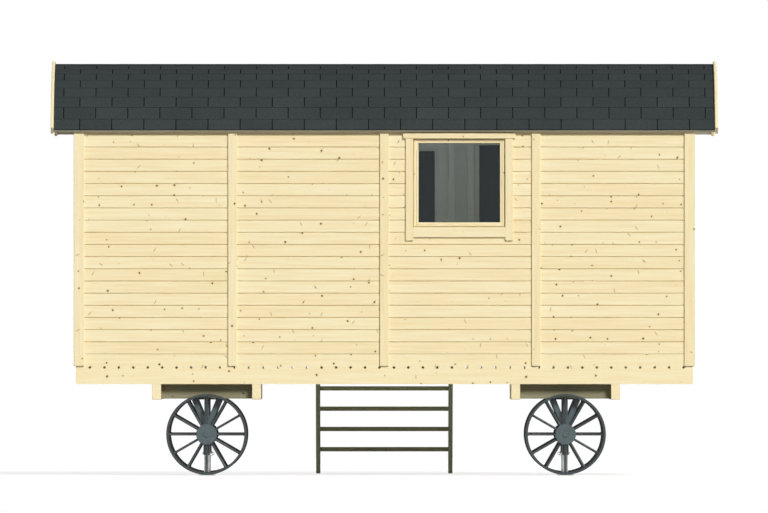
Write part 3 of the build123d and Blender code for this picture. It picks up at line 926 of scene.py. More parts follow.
@dataclass
class Floor:
    """Rim beams with their vents, joists and floor boards."""

    finishes: Finishes
    vent_spacing: float = 124.4 * MM
    vent_count: int = 42
    vent_shift: float = 21 * MM
    vent_drop: float = 114 * MM
    vent_radius: float = 11 * MM
    vent_sides: int = 16
    chamfer: float = 3 * MM
    floor_board: float = 128 * MM
    board_gap: float = 1.5 * MM
    board_edge: float = 1.5 * MM
    band_share: float = 0.98

    def build(self) -> None:
        """Make the beams, joists and floor."""
        for node in ("sill_front", "sill_back"):
            self.vented_beam(node)
        ends = Piece("end_sills")
        ends.bars("sill_ends", Axis.Y, self.chamfer)
        ends.place("cabin", "spruce_beams", (self.finishes.beams,), "sill_ends")
        joists = Piece("joists")
        joists.bars("floor_joists", Axis.Y, self.chamfer)
        joists.place("cabin", "floor_timber", (self.finishes.floor,), "floor_joists")
        self.floor_boards()

    def vented_beam(self, node: str) -> None:
        """Make a rim beam as a row of cells, each with a round vent through it.

        Args:
            node: CAD node of the beam.
        """
        low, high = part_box(node)
        height = high.z - self.vent_drop
        half = self.vent_spacing / 2
        first = self.vent_shift - half * (self.vent_count - 1)
        ends = first - half, first + half + self.vent_spacing * (self.vent_count - 1)
        piece = Piece(f"{node}_beam")
        piece.hold_figure()
        band = half * self.band_share
        piece.box(low, Vector((high.x, high.y, height - band)))
        piece.box(Vector((low.x, low.y, height + band)), high)
        for left, right in ((low.x, ends[0]), (ends[1], high.x)):
            piece.box(Vector((left, low.y, height - band)), Vector((right, high.y, height + band)))
        for index in range(self.vent_count):
            centre = Vector((first + index * self.vent_spacing, 0.0, height))
            self.vent_cell(piece, centre, half, band, (low.y, high.y))
        piece.place("cabin", "spruce_beams", (self.finishes.beams,), node)

    def vent_cell(self, piece: Piece, centre: Vector, half: float, band: float, faces: tuple[float, float]) -> None:
        """Add a stretch of beam with a round hole through it.

        Args:
            piece: Piece that gets the cell.
            centre: Middle of the hole, seen from the front.
            half: Half the cell's width.
            band: Half the cell's height.
            faces: Y of the beam's front and back.
        """
        turns = [math.tau * (index + 0.5) / self.vent_sides for index in range(self.vent_sides)]
        rays = [Vector((math.cos(turn), 0.0, math.sin(turn))) for turn in turns]
        square = [ray * min(half / abs(ray.x), band / abs(ray.z)) for ray in rays]
        for corner in (Vector((across * half, 0.0, up * band)) for across in (-1, 1) for up in (-1, 1)):
            square[min(range(self.vent_sides), key=lambda place: (square[place] - corner).length)] = corner
        circle = [ray * self.vent_radius for ray in rays]
        front, back = (centre + Vector((0.0, y, 0.0)) for y in faces)
        rings = [[middle + point for point in ring]
                 for middle, ring in ((front, square), (front, circle), (back, circle), (back, square))]
        piece.loft(rings, loop=True)

    def floor_boards(self) -> None:
        """Lay boards along the hut, with a hairline between them."""
        low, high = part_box("floor_deck")
        count = round((high.y - low.y) / self.floor_board)
        width = (high.y - low.y) / count
        piece = Piece("floor_boards")
        for index in range(count):
            start = Vector((low.x, low.y + index * width + self.board_gap / 2, low.z))
            stop = Vector((high.x, low.y + (index + 1) * width - self.board_gap / 2, high.z))
            piece.bar(start, stop, Axis.X, self.board_edge)
        piece.place("cabin", "floor_timber", (self.finishes.floor,), "floor_deck")


@dataclass
class Trim:
    """Corner boards and cover battens."""

    arch: Arch
    finishes: Finishes
    thickness: float = 18 * MM
    chamfer: float = 4 * MM
    arc_steps: int = 4

    def build(self) -> None:
        """Make the corner boards and the battens."""
        corners = Piece("corner_trim")
        for low, high in solids("corner_boards"):
            side = Side.FRONT if low.y < self.arch.ridge else Side.BACK
            end = End.LEFT if low.x < 0 else End.RIGHT
            outer = side.outer(low, high)
            near, far = sorted((outer, outer - side.value * self.thickness))
            top = min(self.arch.ceiling(near), self.arch.ceiling(far))
            corners.bar(Vector((low.x, near, low.z)), Vector((high.x, far, top)), Axis.Z, self.chamfer)
            inner = (far, high.y) if side is Side.FRONT else (low.y, near)
            self.end_board(corners, end, inner, low.z, end.outer(low, high))
        corners.place("cabin", "spruce_trim", (self.finishes.trim,), "corner_boards")
        battens = Piece("batten_trim")
        for low, high in solids("cover_battens"):
            if high.x - low.x > high.y - low.y:
                top = min(self.arch.ceiling(low.y), self.arch.ceiling(high.y))
                battens.bar(low, Vector((high.x, high.y, top)), Axis.Z, self.chamfer)
            else:
                end = End.LEFT if low.x < 0 else End.RIGHT
                self.end_board(battens, end, (low.y, high.y), low.z, end.outer(low, high))
        battens.place("cabin", "spruce_trim", (self.finishes.trim,), "cover_battens")

    def end_board(self, piece: Piece, end: End, across: tuple[float, float], bottom: float, face: float) -> None:
        """Add an upright board on an end wall, with its top cut to the roof.

        Args:
            piece: Piece that gets the board.
            end: Which end.
            across: Its two edges across the hut.
            bottom: Its lower end.
            face: X of its outer face.
        """
        near, far = across
        places = [far - (far - near) * step / self.arc_steps for step in range(self.arc_steps + 1)]
        middle, half = (near + far) / 2, (far - near) / 2
        rings = []
        for depth, inset in ((0.0, self.chamfer), (self.chamfer, 0.0), (self.thickness, 0.0)):
            squeeze = 1 - inset / half
            x = face - end.value * depth
            ring = [Vector((x, middle + (y - middle) * squeeze, bottom + inset)) for y in (near, far)]
            ring += [Vector((x, middle + (y - middle) * squeeze, self.arch.ceiling(y))) for y in places]
            rings.append(ring)
        piece.loft(rings, (Axis.Z.unit, Axis.Y.unit))


@dataclass
class Roof:
    """Deck boards, shingles and barge boards on the arch."""

    arch: Arch
    finishes: Finishes
    deck_board: float = 96 * MM
    deck_chamfer: float = 4 * MM
    exposure: float = 149 * MM
    starter_cut: float = 25 * MM
    tab_width: float = 275.7 * MM
    slot_width: float = 8 * MM
    first_slot: float = 222 * MM
    second_slot: float = 83 * MM
    shingle: float = 3.5 * MM
    tilt: float = 3 * MM
    taper: float = 1.5 * MM
    bend_shares: tuple[float, ...] = (0.0, 0.33, 0.67, 1.0)
    dark_edge_courses: int = 3
    head_lap: float = 12 * MM
    sag: float = 1.2 * MM
    felt: float = 1.4 * MM
    felt_steps: int = 48
    cap_width: float = 400 * MM
    cap_spacing: float = 276 * MM
    cap_lift: float = 1 * MM
    cap_steps: int = 6
    verge_gap: float = 1 * MM
    barge_width: float = 80 * MM
    barge_steps: int = 40
    chamfer: float = 5 * MM

    def build(self) -> None:
        """Make the deck, the shingles and both barge boards."""
        self.deck()
        self.shingles()
        for end, node in ((End.LEFT, "barge_board_left"), (End.RIGHT, "barge_board_right")):
            self.barge_board(end, node)

    def deck(self) -> None:
        """Lay the deck boards along the hut, side by side over the arch."""
        arch = self.arch
        span = 2 * arch.eave_turn
        count = round(span * arch.deck_inner / self.deck_board)
        piece = Piece("roof_lining")
        for index in range(count):
            left, right = (-arch.eave_turn + span * (index + step) / count for step in (0, 1))
            ease = self.deck_chamfer / arch.deck_inner
            shallow = arch.deck_inner + self.deck_chamfer
            section = [(left, arch.deck_outer), (left, shallow), (left + ease, arch.deck_inner),
                       (right - ease, arch.deck_inner), (right, shallow), (right, arch.deck_outer)]
            piece.loft([[arch.point(x, turn, radius) for turn, radius in section] for x in (arch.start, arch.stop)],
                       (Axis.X.unit, Axis.Y.unit))
        piece.place("cabin", "floor_timber", (self.finishes.lining,), "roof_deck")

    def shingles(self) -> None:
        """Lay the felt, every course of tabs on both slopes, and the caps over the crown."""
        arch = self.arch
        felt, piece, caps = Piece("roofing_felt"), Piece("shingles"), Piece("ridge_caps")
        felt_low, felt_top = arch.deck_outer, arch.deck_outer + self.felt
        section = ((arch.start, felt_low), (arch.stop, felt_low), (arch.stop, felt_top), (arch.start, felt_top))
        turns = arch.sweep(arch.eave_turn, self.felt_steps)
        felt.loft([[arch.point(x, turn, radius) for x, radius in section] for turn in turns])
        slope = arch.eave_turn * arch.radius
        for side in Side:
            for course in range(math.ceil((slope + self.starter_cut) / self.exposure)):
                start = course * self.exposure - self.starter_cut
                bottom, top = max(0.0, start), min(slope, start + self.exposure + self.head_lap)
                edges = self.tab_edges(self.first_slot if course % 2 == 0 else self.second_slot)
                for left, right in zip(edges, edges[1:]):
                    sag = piece.draw.uniform(0.0, self.sag)
                    # Only the lowest courses get a black cut edge: painted shade for the darker shadow under their
                    # butts on the steeper slope.
                    self.tab(piece, side, (left, right), bottom + sag, top, int(course < self.dark_edge_courses))
        for index in range(math.ceil((arch.stop - arch.start) / self.cap_spacing)):
            self.cap(caps, arch.start + self.verge_gap + index * self.cap_spacing)
        felt.place("cabin", "roof_shingle", (self.finishes.bitumen,))
        piece.place("cabin", "roof_shingle", (self.finishes.shingle, self.finishes.bitumen), "roof_covering")
        caps.place("cabin", "roof_shingle", (self.finishes.ridge,))

    def tab_edges(self, slot: float) -> list[float]:
        """Find the verges and slots along one course.

        Args:
            slot: Place of the first slot, from the left verge.

        Returns:
            The places, from left to right.
        """
        start, stop = self.arch.start + self.verge_gap, self.arch.stop - self.verge_gap
        inner = [start + slot + index * self.tab_width for index in range(math.ceil((stop - start) / self.tab_width))]
        slots = [x for x in inner if x < stop - self.slot_width]
        return [start - self.slot_width / 2, *slots, stop + self.slot_width / 2]

    def tab(self, piece: Piece, side: Side, edges: tuple[float, float], bottom: float, top: float,
            edge_finish: int) -> None:
        """Add one tab, which leans a little so that its lower edge stands proud.

        Args:
            piece: Piece that gets the tab.
            side: Which slope.
            edges: Middles of the slots beside it.
            bottom: Its lower edge, measured up the slope from the eave.
            top: Its upper edge.
            edge_finish: Number of the finish on its lower edge.
        """
        arch = self.arch
        left, right = edges[0] + self.slot_width / 2, edges[1] - self.slot_width / 2
        rings = []
        for share in self.bend_shares:
            turn = side.value * (arch.eave_turn - (bottom + (top - bottom) * share) / arch.radius)
            outer = arch.radius - self.tilt * share
            inner = outer - self.shingle + share * self.taper
            rings.append([arch.point(x, turn, radius) for x, radius in (
                (left, inner), (right, inner), (right, outer), (left, outer))])
        piece.loft(rings, start_finish=edge_finish)

    def cap(self, piece: Piece, start: float) -> None:
        """Add one cap shingle bent over the crown, which laps the cap before it.

        Args:
            piece: Piece that gets the cap.
            start: Its left edge.
        """
        arch = self.arch
        stop = min(start + self.cap_spacing + self.head_lap, arch.stop - self.verge_gap)
        turns = arch.sweep(self.cap_width / 2 / arch.radius, self.cap_steps)
        rings = []
        for x, lift in ((start, self.cap_lift), (stop, self.cap_lift / 2)):
            upper = [arch.point(x, turn, arch.radius + lift) for turn in turns]
            lower = [arch.point(x, turn, arch.radius + lift - self.shingle) for turn in reversed(turns)]
            rings.append(upper + lower)
        piece.loft(rings)

    def barge_board(self, end: End, node: str) -> None:
        """Bend a barge board over one verge.

        Args:
            end: Which end.
            node: CAD node of the board.
        """
        arch = self.arch
        low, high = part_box(node)
        outer = high.z - arch.centre
        inner = outer - self.barge_width
        cut = self.chamfer
        section = [(low.x, inner + cut), (low.x + cut, inner), (high.x - cut, inner), (high.x, inner + cut),
                   (high.x, outer - cut), (high.x - cut, outer), (low.x + cut, outer), (low.x, outer - cut)]
        piece = Piece(f"barge_{end.name.lower()}")
        turns = arch.sweep(arch.eave_turn, self.barge_steps)
        piece.loft([[arch.point(x, turn, radius) for x, radius in section] for turn in turns],
                   places=[[Vector((turn * outer, radius, x)) for x, radius in section] for turn in turns])
        piece.place("cabin", "spruce_trim", (self.finishes.trim,), node)


@dataclass
class Joinery:
    """Shared ways of the windows and doors: boards in the wall's plane, and a light with its beads and seals."""

    finishes: Finishes
    chamfer: float = 2 * MM
    bead: float = 17 * MM
    bead_gap: float = 1.2 * MM
    bead_drop: float = 4 * MM
    bead_chamfer: float = 3 * MM
    seal: float = 3 * MM
    seal_thickness: float = 1.5 * MM

    def boards(self, piece: Piece, depths: tuple[float, float], chamfer: float, *faces: Rectangle) -> None:
        """Add boards that lie in the plane of the wall, each with its grain along its longer side.

        Args:
            piece: Piece that gets the boards.
            depths: Y of their two faces, in either order.
            chamfer: Size of their chamfer.
            faces: Left, bottom, right and top of each board.
        """
        near, far = sorted(depths)
        for left, bottom, right, top in faces:
            along = Axis.X if right - left > top - bottom else Axis.Z
            piece.bar(Vector((left, near, bottom)), Vector((right, far, top)), along, chamfer)

    def surround_light(self, piece: Piece, light: Rectangle, width: float, depths: tuple[float, float],
                       chamfer: float) -> None:
        """Lay four strips along the edges of a light, the lower and upper one over its whole width.

        Args:
            piece: Piece that gets the strips.
            light: Left, bottom, right and top of the light.
            width: Width of the strips; a negative one lays them inside the light.
            depths: Y of their two faces, in either order.
            chamfer: Size of their chamfer.
        """
        left, bottom, right, top = light
        outside, inside = max(width, 0.0), max(-width, 0.0)
        self.boards(piece, depths, chamfer,
                    (left - outside, bottom - outside, right + outside, bottom + inside),
                    (left - outside, top - inside, right + outside, top + outside),
                    (left - outside, bottom + inside, left + inside, top - inside),
                    (right - inside, bottom + inside, right + outside, top - inside))

    def glaze(self, wood: Piece, seals: Piece, light: Rectangle, faces: tuple[float, float],
              pane: tuple[float, float]) -> None:
        """Add beads and black seals round a light, on both faces of the pane.

        Args:
            wood: Piece that gets the beads.
            seals: Piece that gets the seals.
            light: Left, bottom, right and top of the light.
            faces: Y of the frame's two faces.
            pane: Y of the pane's two faces.
        """
        middle = (pane[0] + pane[1]) / 2
        for face, glass in zip(faces, pane):
            inward = 1 if glass > face else -1
            outer = glass - inward * self.seal_thickness
            self.surround_light(wood, light, self.bead, (face + inward * self.bead_drop, middle), self.bead_chamfer)
            self.surround_light(seals, light, -self.seal, (outer, glass), self.seal_thickness)

    def dress(self, node: str, material: bpy.types.Material) -> None:
        """Give a CAD node that stays its finish.

        Args:
            node: Name of the CAD node.
            material: Its finish.
        """
        materials = frame["nodes"][node].data.materials
        materials.clear()
        materials.append(material)
        LOG.info("%s: kept and dressed", node)

    def widen(self, light: Rectangle) -> Rectangle:
        """Find the opening that a light's beads and their gap need.

        Args:
            light: Left, bottom, right and top of the light.

        Returns:
            Left, bottom, right and top of the opening.
        """
        left, bottom, right, top = light
        margin = self.bead + self.bead_gap
        return left - margin, bottom - margin, right + margin, top + margin


@dataclass
class Windows(Joinery):
    """The windows of one long side: casing boards, sash frames with beads, and panes."""

    side: Side = Side.FRONT
    shadow_gap: float = 9 * MM
    shadow_depth: float = 16 * MM
    setback: float = 6 * MM
    inside_width: float = 55 * MM
    inside_thickness: float = 12 * MM

    def build(self, casing: str, sash: str, pane: str) -> None:
        """Make every window of this side.

        Args:
            casing: CAD node of the casings.
            sash: CAD node of the sashes.
            pane: CAD node of the panes.
        """
        self.casings(casing)
        label = self.side.name.lower()
        frames, seals = Piece(f"{label}_sash_frames"), Piece(f"{label}_window_seals")
        room = self.side.outer(*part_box("floor_deck"))
        for (low, high), light, glass in zip(solids(sash), self.lights(sash), solids(pane)):
            front, back = (low.y, high.y) if self.side is Side.FRONT else (high.y, low.y)
            front -= self.side.value * self.setback
            shoulder = front - self.side.value * self.shadow_depth
            left, bottom, right, top = self.widen(light)
            for inset, depths in ((self.shadow_gap, (front, shoulder)), (0.0, (shoulder, back))):
                start_x, start_z, stop_x, stop_z = low.x + inset, low.z + inset, high.x - inset, high.z - inset
                self.boards(frames, depths, self.chamfer,
                            (start_x, start_z, left, stop_z), (right, start_z, stop_x, stop_z),
                            (left, start_z, right, bottom), (left, top, right, stop_z))
            near, far = sorted((front, back))
            self.glaze(frames, seals, light, (near, far), (glass[0].y, glass[1].y))
            # A plain casing covers the joint on the room's side.
            self.surround_light(frames, (low.x, low.z, high.x, high.z), self.inside_width,
                                (room, room - self.side.value * self.inside_thickness), self.chamfer)
        frames.place("cabin", "spruce_joinery", (self.finishes.trim, self.finishes.whitened), sash,
                     room=-self.side.value * Axis.Y.unit)
        seals.place("cabin", None, (self.finishes.rubber,))
        self.dress(pane, self.finishes.glass)

    def lights(self, sash: str) -> list[Rectangle]:
        """Read the glazed opening of each sash from the corners of its frame.

        Args:
            sash: CAD node of the sashes.

        Returns:
            Left, bottom, right and top of each light.
        """
        found = []
        # From either edge inwards come the sash's own edge, the groove that holds the pane, and the light.
        bottom, top = levels(sash, Axis.Z)[2:4]
        for low, high in solids(sash):
            left, right = [x for x in levels(sash, Axis.X) if low.x - MM < x < high.x + MM][2:4]
            found.append((left, bottom, right, top))
        return found

    def casings(self, node: str) -> None:
        """Make the casing boards: head, two sides that run past the apron, and apron.

        Args:
            node: CAD node of the casings.
        """
        bottom, apron, opening, head, top = levels(node, Axis.Z)
        crown, trim, face = levels(node, Axis.Y)[::-self.side.value]
        piece = Piece(f"{self.side.name.lower()}_casing_boards")
        for low, high in solids(node):
            horn_left, left, inner_left, inner_right, right, horn_right = (
                x for x in levels(node, Axis.X) if low.x - MM < x < high.x + MM)
            self.boards(piece, (face, trim), self.chamfer,
                        (left, bottom, inner_left, head), (inner_right, bottom, right, head),
                        (inner_left, apron, inner_right, opening))
            self.boards(piece, (face, crown), self.chamfer, (horn_left, head, horn_right, top))
        piece.place("cabin", "spruce_trim", (self.finishes.trim,), node)


@dataclass
class DoorSet(Joinery):
    """The double door: frame, casing, two glazed leaves, hinges and handles."""

    panel_boards: int = 4
    panel_recess: float = 12 * MM
    panel_chamfer: float = 3 * MM
    rose_height: float = 8 * MM
    rose_edge: float = 3 * MM
    neck_radius: float = 9 * MM
    neck_length: float = 32 * MM
    lever_radius: float = 7.5 * MM
    lever_edge: float = 3 * MM
    lever_heel: float = 8 * MM
    rose_sides: int = 32
    bar_sides: int = 20

    def build(self) -> None:
        """Make the door's fixed boards, both leaves and their fittings."""
        self.surround()
        for name in ("left", "right"):
            self.leaf(name)
            self.dress(f"hinge_straps_{name}", self.finishes.zinc)
        self.dress("hinge_pins", self.finishes.zinc)
        self.handles()

    def surround(self) -> None:
        """Make the frame in the wall and the casing round it."""
        low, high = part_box("door_frame")
        left, right = levels("door_frame", Axis.X)[1:3]
        bottom, top = levels("door_frame", Axis.Z)[1:3]
        wood = Piece("door_frame_members")
        self.boards(wood, (low.y, high.y), self.chamfer,
                    (low.x, low.z, left, high.z), (right, low.z, high.x, high.z),
                    (left, top, right, high.z), (left, low.z, right, bottom))
        wood.place("cabin", "spruce_joinery", (self.finishes.trim, self.finishes.whitened), "door_frame",
                   room=-Axis.Y.unit)
        low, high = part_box("door_casing")
        left, right = levels("door_casing", Axis.X)[1:3]
        head = levels("door_casing", Axis.Z)[1]
        casing = Piece("door_casing_boards")
        self.boards(casing, (low.y, high.y), self.chamfer,
                    (low.x, low.z, left, high.z), (right, low.z, high.x, high.z), (left, head, right, high.z))
        casing.place("cabin", "spruce_trim", (self.finishes.trim,), "door_casing")

    def leaf(self, name: str) -> None:
        """Make one leaf: stiles, three rails, a boarded panel, beads and seals.

        Args:
            name: Which leaf, left or right.
        """
        node, pane, body = f"door_leaf_{name}", f"door_pane_{name}", f"door_{name}"
        low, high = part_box(node)
        # Upwards come the leaf's edge, the panel, the groove that holds the pane, and the light.
        left, right = levels(node, Axis.X)[2:4]
        _, panel_bottom, panel_top, _, light_bottom, light_top = levels(node, Axis.Z)[:6]
        wood, seals = Piece(f"leaf_{name}_joinery"), Piece(f"leaf_{name}_seals")
        light = left, light_bottom, right, light_top
        wide_left, wide_bottom, wide_right, wide_top = self.widen(light)
        for bottom, top, inner_left, inner_right in ((low.z, wide_bottom, left, right),
                                                     (wide_bottom, high.z, wide_left, wide_right)):
            wood.hold_figure()
            self.boards(wood, (low.y, high.y), self.chamfer,
                        (low.x, bottom, inner_left, top), (inner_right, bottom, high.x, top))
        wood.held = None
        self.boards(wood, (low.y, high.y), self.chamfer,
                    (left, low.z, right, panel_bottom), (left, panel_top, right, wide_bottom),
                    (wide_left, wide_top, wide_right, high.z))
        joints = [left + (right - left) / self.panel_boards * index for index in range(self.panel_boards + 1)]
        self.boards(wood, (low.y + self.panel_recess, high.y - self.panel_recess), self.panel_chamfer,
                    *[(start, panel_bottom, stop, panel_top) for start, stop in zip(joints, joints[1:])])
        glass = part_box(pane)
        self.glaze(wood, seals, light, (low.y, high.y), (glass[0].y, glass[1].y))
        wood.place(body, "spruce_joinery", (self.finishes.trim, self.finishes.whitened), node, room=-Axis.Y.unit)
        seals.place(body, None, (self.finishes.rubber,))
        self.dress(pane, self.finishes.glass)

    def handles(self) -> None:
        """Make the lever handles on both faces of the right leaf."""
        piece = Piece("lever_handles")
        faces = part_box("door_leaf_right")
        for low, high in solids("door_handle"):
            outward = 1 if low.y > faces[0].y else -1
            face = low.y if outward > 0 else high.y
            tip = high.y if outward > 0 else low.y
            height = (low.z + high.z) / 2
            rose = (high.z - low.z) / 2
            axis = Vector((low.x + rose, face, height))
            out = Vector((0.0, outward, 0.0))
            piece.turned(axis, out, [(rose, 0.0), (rose, self.rose_height - self.rose_edge),
                                     (rose - self.rose_edge, self.rose_height)], self.rose_sides)
            piece.turned(axis + out * self.rose_height, out,
                         [(self.neck_radius, 0.0), (self.neck_radius, self.neck_length)], self.bar_sides)
            grip = Vector((axis.x, tip - outward * self.lever_heel, height))
            piece.tube(grip - Axis.X.unit * self.lever_heel, Vector((high.x, grip.y, height)), self.lever_radius,
                       self.bar_sides, self.lever_edge)
        piece.place("door_right", "zinc_steel", (self.finishes.zinc,), "door_handle")


@dataclass
class Wheel:
    """One spoked wheel on its stub axle."""

    finishes: Finishes
    name: str
    rim_width: float = 60 * MM
    rim_depth: float = 23 * MM
    rim_edge: float = 4 * MM
    rim_steps: int = 96
    spokes: int = 12
    spoke_radius: float = 10 * MM
    spoke_sides: int = 10
    spoke_root: float = 8 * MM
    root_collar: float = 22 * MM
    root_swell: float = 1.5
    collar_swell: float = 1.25
    rim_collar: float = 14 * MM
    rim_swell: float = 1.35
    hub_radius: float = 54 * MM
    hub_edge: float = 3 * MM
    disc_radius: float = 91 * MM
    disc_back: float = 12 * MM
    disc_front: float = 31 * MM
    cap_radius: float = 26 * MM
    cap_front: float = 39.5 * MM
    cap_sides: int = 32

    def build(self) -> None:
        """Make the rim with its spokes, and the hub with its disc and cap."""
        joint = next(joint for joint in frame["joints"] if joint["child"] == self.name)
        centre = Vector(joint["pos_m"])
        low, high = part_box(self.name)
        radius = (high.z - low.z) / 2
        outward = Vector((0.0, -1.0 if centre.y < 0 else 1.0, 0.0))
        back = (low.y if outward.y > 0 else high.y) - centre.y
        piece, middle = Piece(f"{self.name}_rim"), Piece(f"{self.name}_hub")
        half, edge, inner = self.rim_width / 2, self.rim_edge, radius - self.rim_depth
        section = [(radius, half - edge), (radius - edge, half), (inner + edge, half), (inner, half - edge),
                   (inner, edge - half), (inner + edge, -half), (radius - edge, -half), (radius, edge - half)]
        piece.hoop(centre, outward, section, self.rim_steps)
        # Each spoke thickens into a collar where it is welded to the hub and to the rim.
        root, thick = self.hub_radius - self.spoke_root, self.spoke_radius
        length = inner + self.rim_edge - root
        spoke = [(self.root_swell * thick, 0.0), (self.collar_swell * thick, self.root_collar / 2),
                 (thick, self.root_collar), (thick, length - self.rim_collar),
                 (self.rim_swell * thick, length - self.rim_edge), (self.rim_swell * thick, length)]
        for ray in piece.rays(outward, self.spokes):
            piece.turned(centre + ray * root, ray, spoke, self.spoke_sides)
        ease, back = self.hub_edge, -abs(back)
        # The barrel and the disc have a flat for each spoke; the cap is round.
        drums = ((self.hub_radius, back, self.disc_back, self.spokes),
                 (self.disc_radius, self.disc_back, self.disc_front, self.spokes),
                 (self.cap_radius, self.disc_front, self.cap_front, self.cap_sides))
        for wide, start, end, sides in drums:
            profile = [(wide - ease, start), (wide, start + ease), (wide, end - ease), (wide - ease, end)]
            middle.turned(centre, outward, profile, sides, math.pi / sides, sides > self.spokes)
        # The rim's darker paint is painted shade.
        piece.place(self.name, "wheel_steel", (self.finishes.wheel_paint,), self.name)
        middle.place(self.name, "wheel_steel", (self.finishes.hub_paint,))


@dataclass
class Undercarriage:
    """Cross beams, chassis rails and jack legs."""

    finishes: Finishes
    chamfer: float = 3 * MM
    plate_width: float = 92 * MM
    plate_thickness: float = 8 * MM
    plate_edge: float = 1 * MM
    post_size: float = 40 * MM
    post_edge: float = 4 * MM
    strut_width: float = 46 * MM
    strut_thickness: float = 24 * MM
    strut_spread: float = 105 * MM
    strut_meeting: float = 399 * MM
    strut_overrun: float = 4 * MM
    sleeve_radius: float = 28.5 * MM
    sleeve_bottom: float = 176 * MM
    tube_radius: float = 22.5 * MM
    axle_radius: float = 20 * MM
    axle_height: float = 353 * MM
    axle_reach: float = 111 * MM
    bolt_radius: float = 9 * MM
    bolt_height: float = 190 * MM
    bolt_root: float = 2 * MM
    bolt_length: float = 11 * MM
    bolt_sides: int = 6
    clip_radius: float = 11 * MM
    clip_wire: float = 2.5 * MM
    clip_steps: int = 20
    clip_sides: int = 8

    def build(self) -> None:
        """Make the timbers, the legs, their feet and the locking bolts."""
        beams = Piece("cross_beam_timbers")
        beams.bars("cross_beams", Axis.Y, self.chamfer)
        beams.place("cabin", "spruce_beams", (self.finishes.beams,), "cross_beams")
        rails = Piece("chassis_rail_timbers")
        rails.bars("chassis_rails", Axis.X, self.chamfer)
        rails.place("cabin", "treated_timber", (self.finishes.rails,), "chassis_rails")
        frames, feet, bolts = Piece("jack_leg_frames"), Piece("jack_leg_feet"), Piece("jack_leg_bolts")
        for low, high in solids("leg_feet"):
            self.leg(frames, feet, bolts, low, high)
        frames.place("cabin", "leg_steel", (self.finishes.hub_paint,), "leg_frames")
        feet.place("cabin", "zinc_steel", (self.finishes.zinc,), "leg_feet")
        bolts.place("cabin", "zinc_steel", (self.finishes.zinc,))

    def leg(self, frames: Piece, feet: Piece, bolts: Piece, low: Vector, high: Vector) -> None:
        """Make one leg over its foot.

        Args:
            frames: Piece that gets the painted leg.
            feet: Piece that gets the zinc foot.
            bolts: Piece that gets the locking bolts.
            low: Lowest corner of the foot.
            high: Highest corner of the foot.
        """
        middle = Vector(((low.x + high.x) / 2, (low.y + high.y) / 2, 0.0))
        low_deck, high_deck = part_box("roof_deck")
        outward = -1.0 if middle.y < (low_deck.y + high_deck.y) / 2 else 1.0
        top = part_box("leg_frames")[1].z
        seat = top - self.plate_thickness
        up, sideways = Axis.Z.unit, Axis.X.unit
        first_leg = solids("leg_frames")[0]
        half_plate, half_width = (first_leg[1].x - first_leg[0].x) / 2, self.plate_width / 2
        frames.bar(middle + Vector((-half_plate, -half_width, seat)), middle + Vector((half_plate, half_width, top)),
                   Axis.X, self.plate_edge)
        half_post = self.post_size / 2
        frames.bar(middle + Vector((-half_post, -half_post, self.strut_meeting)),
                   middle + Vector((half_post, half_post, seat)), Axis.Z, self.post_edge)
        for lean in (-1, 1):
            start = middle + up * self.strut_meeting
            end = middle + up * seat + sideways * lean * self.strut_spread
            slope = (end - start).normalized()
            frames.plank(start, end + slope * self.strut_overrun, slope.cross(Axis.Y.unit), self.strut_width,
                         self.strut_thickness, self.chamfer)
        frames.tube(middle + up * self.sleeve_bottom, middle + up * self.strut_meeting, self.sleeve_radius)
        axle = middle + up * self.axle_height
        frames.tube(axle, axle + Vector((0.0, outward * self.axle_reach, 0.0)), self.axle_radius)
        tube_bottom = low.z + self.plate_thickness - self.plate_edge
        feet.tube(middle + up * tube_bottom, middle + up * high.z, self.tube_radius)
        half_foot = (high.x - low.x) / 2
        feet.bar(middle + Vector((-half_foot, -half_foot, 0.0)),
                 middle + Vector((half_foot, half_foot, self.plate_thickness)), Axis.X, self.plate_edge)
        shank = self.bolt_length - self.bolt_root
        tip = self.bolt_radius - self.bolt_root
        bolt = [(self.bolt_radius, 0.0), (self.bolt_radius, shank), (tip, self.bolt_length)]
        for lean in (-1, 1):
            start = middle + up * self.bolt_height + sideways * lean * (self.sleeve_radius - self.bolt_root)
            bolts.turned(start, sideways * lean, bolt, self.bolt_sides, smooth=False)
        # A locking ring hangs on the bolt that faces the stairs.
        inward = -1 if middle.x > 0 else 1
        ring = middle + up * (self.bolt_height - self.clip_radius)
        ring += sideways * inward * (self.sleeve_radius + self.bolt_length)
        wire = [(self.clip_radius + self.clip_wire * math.cos(turn), self.clip_wire * math.sin(turn))
                for turn in (math.tau * step / self.clip_sides for step in range(self.clip_sides))]
        bolts.hoop(ring, Axis.Y.unit, wire, self.clip_steps)


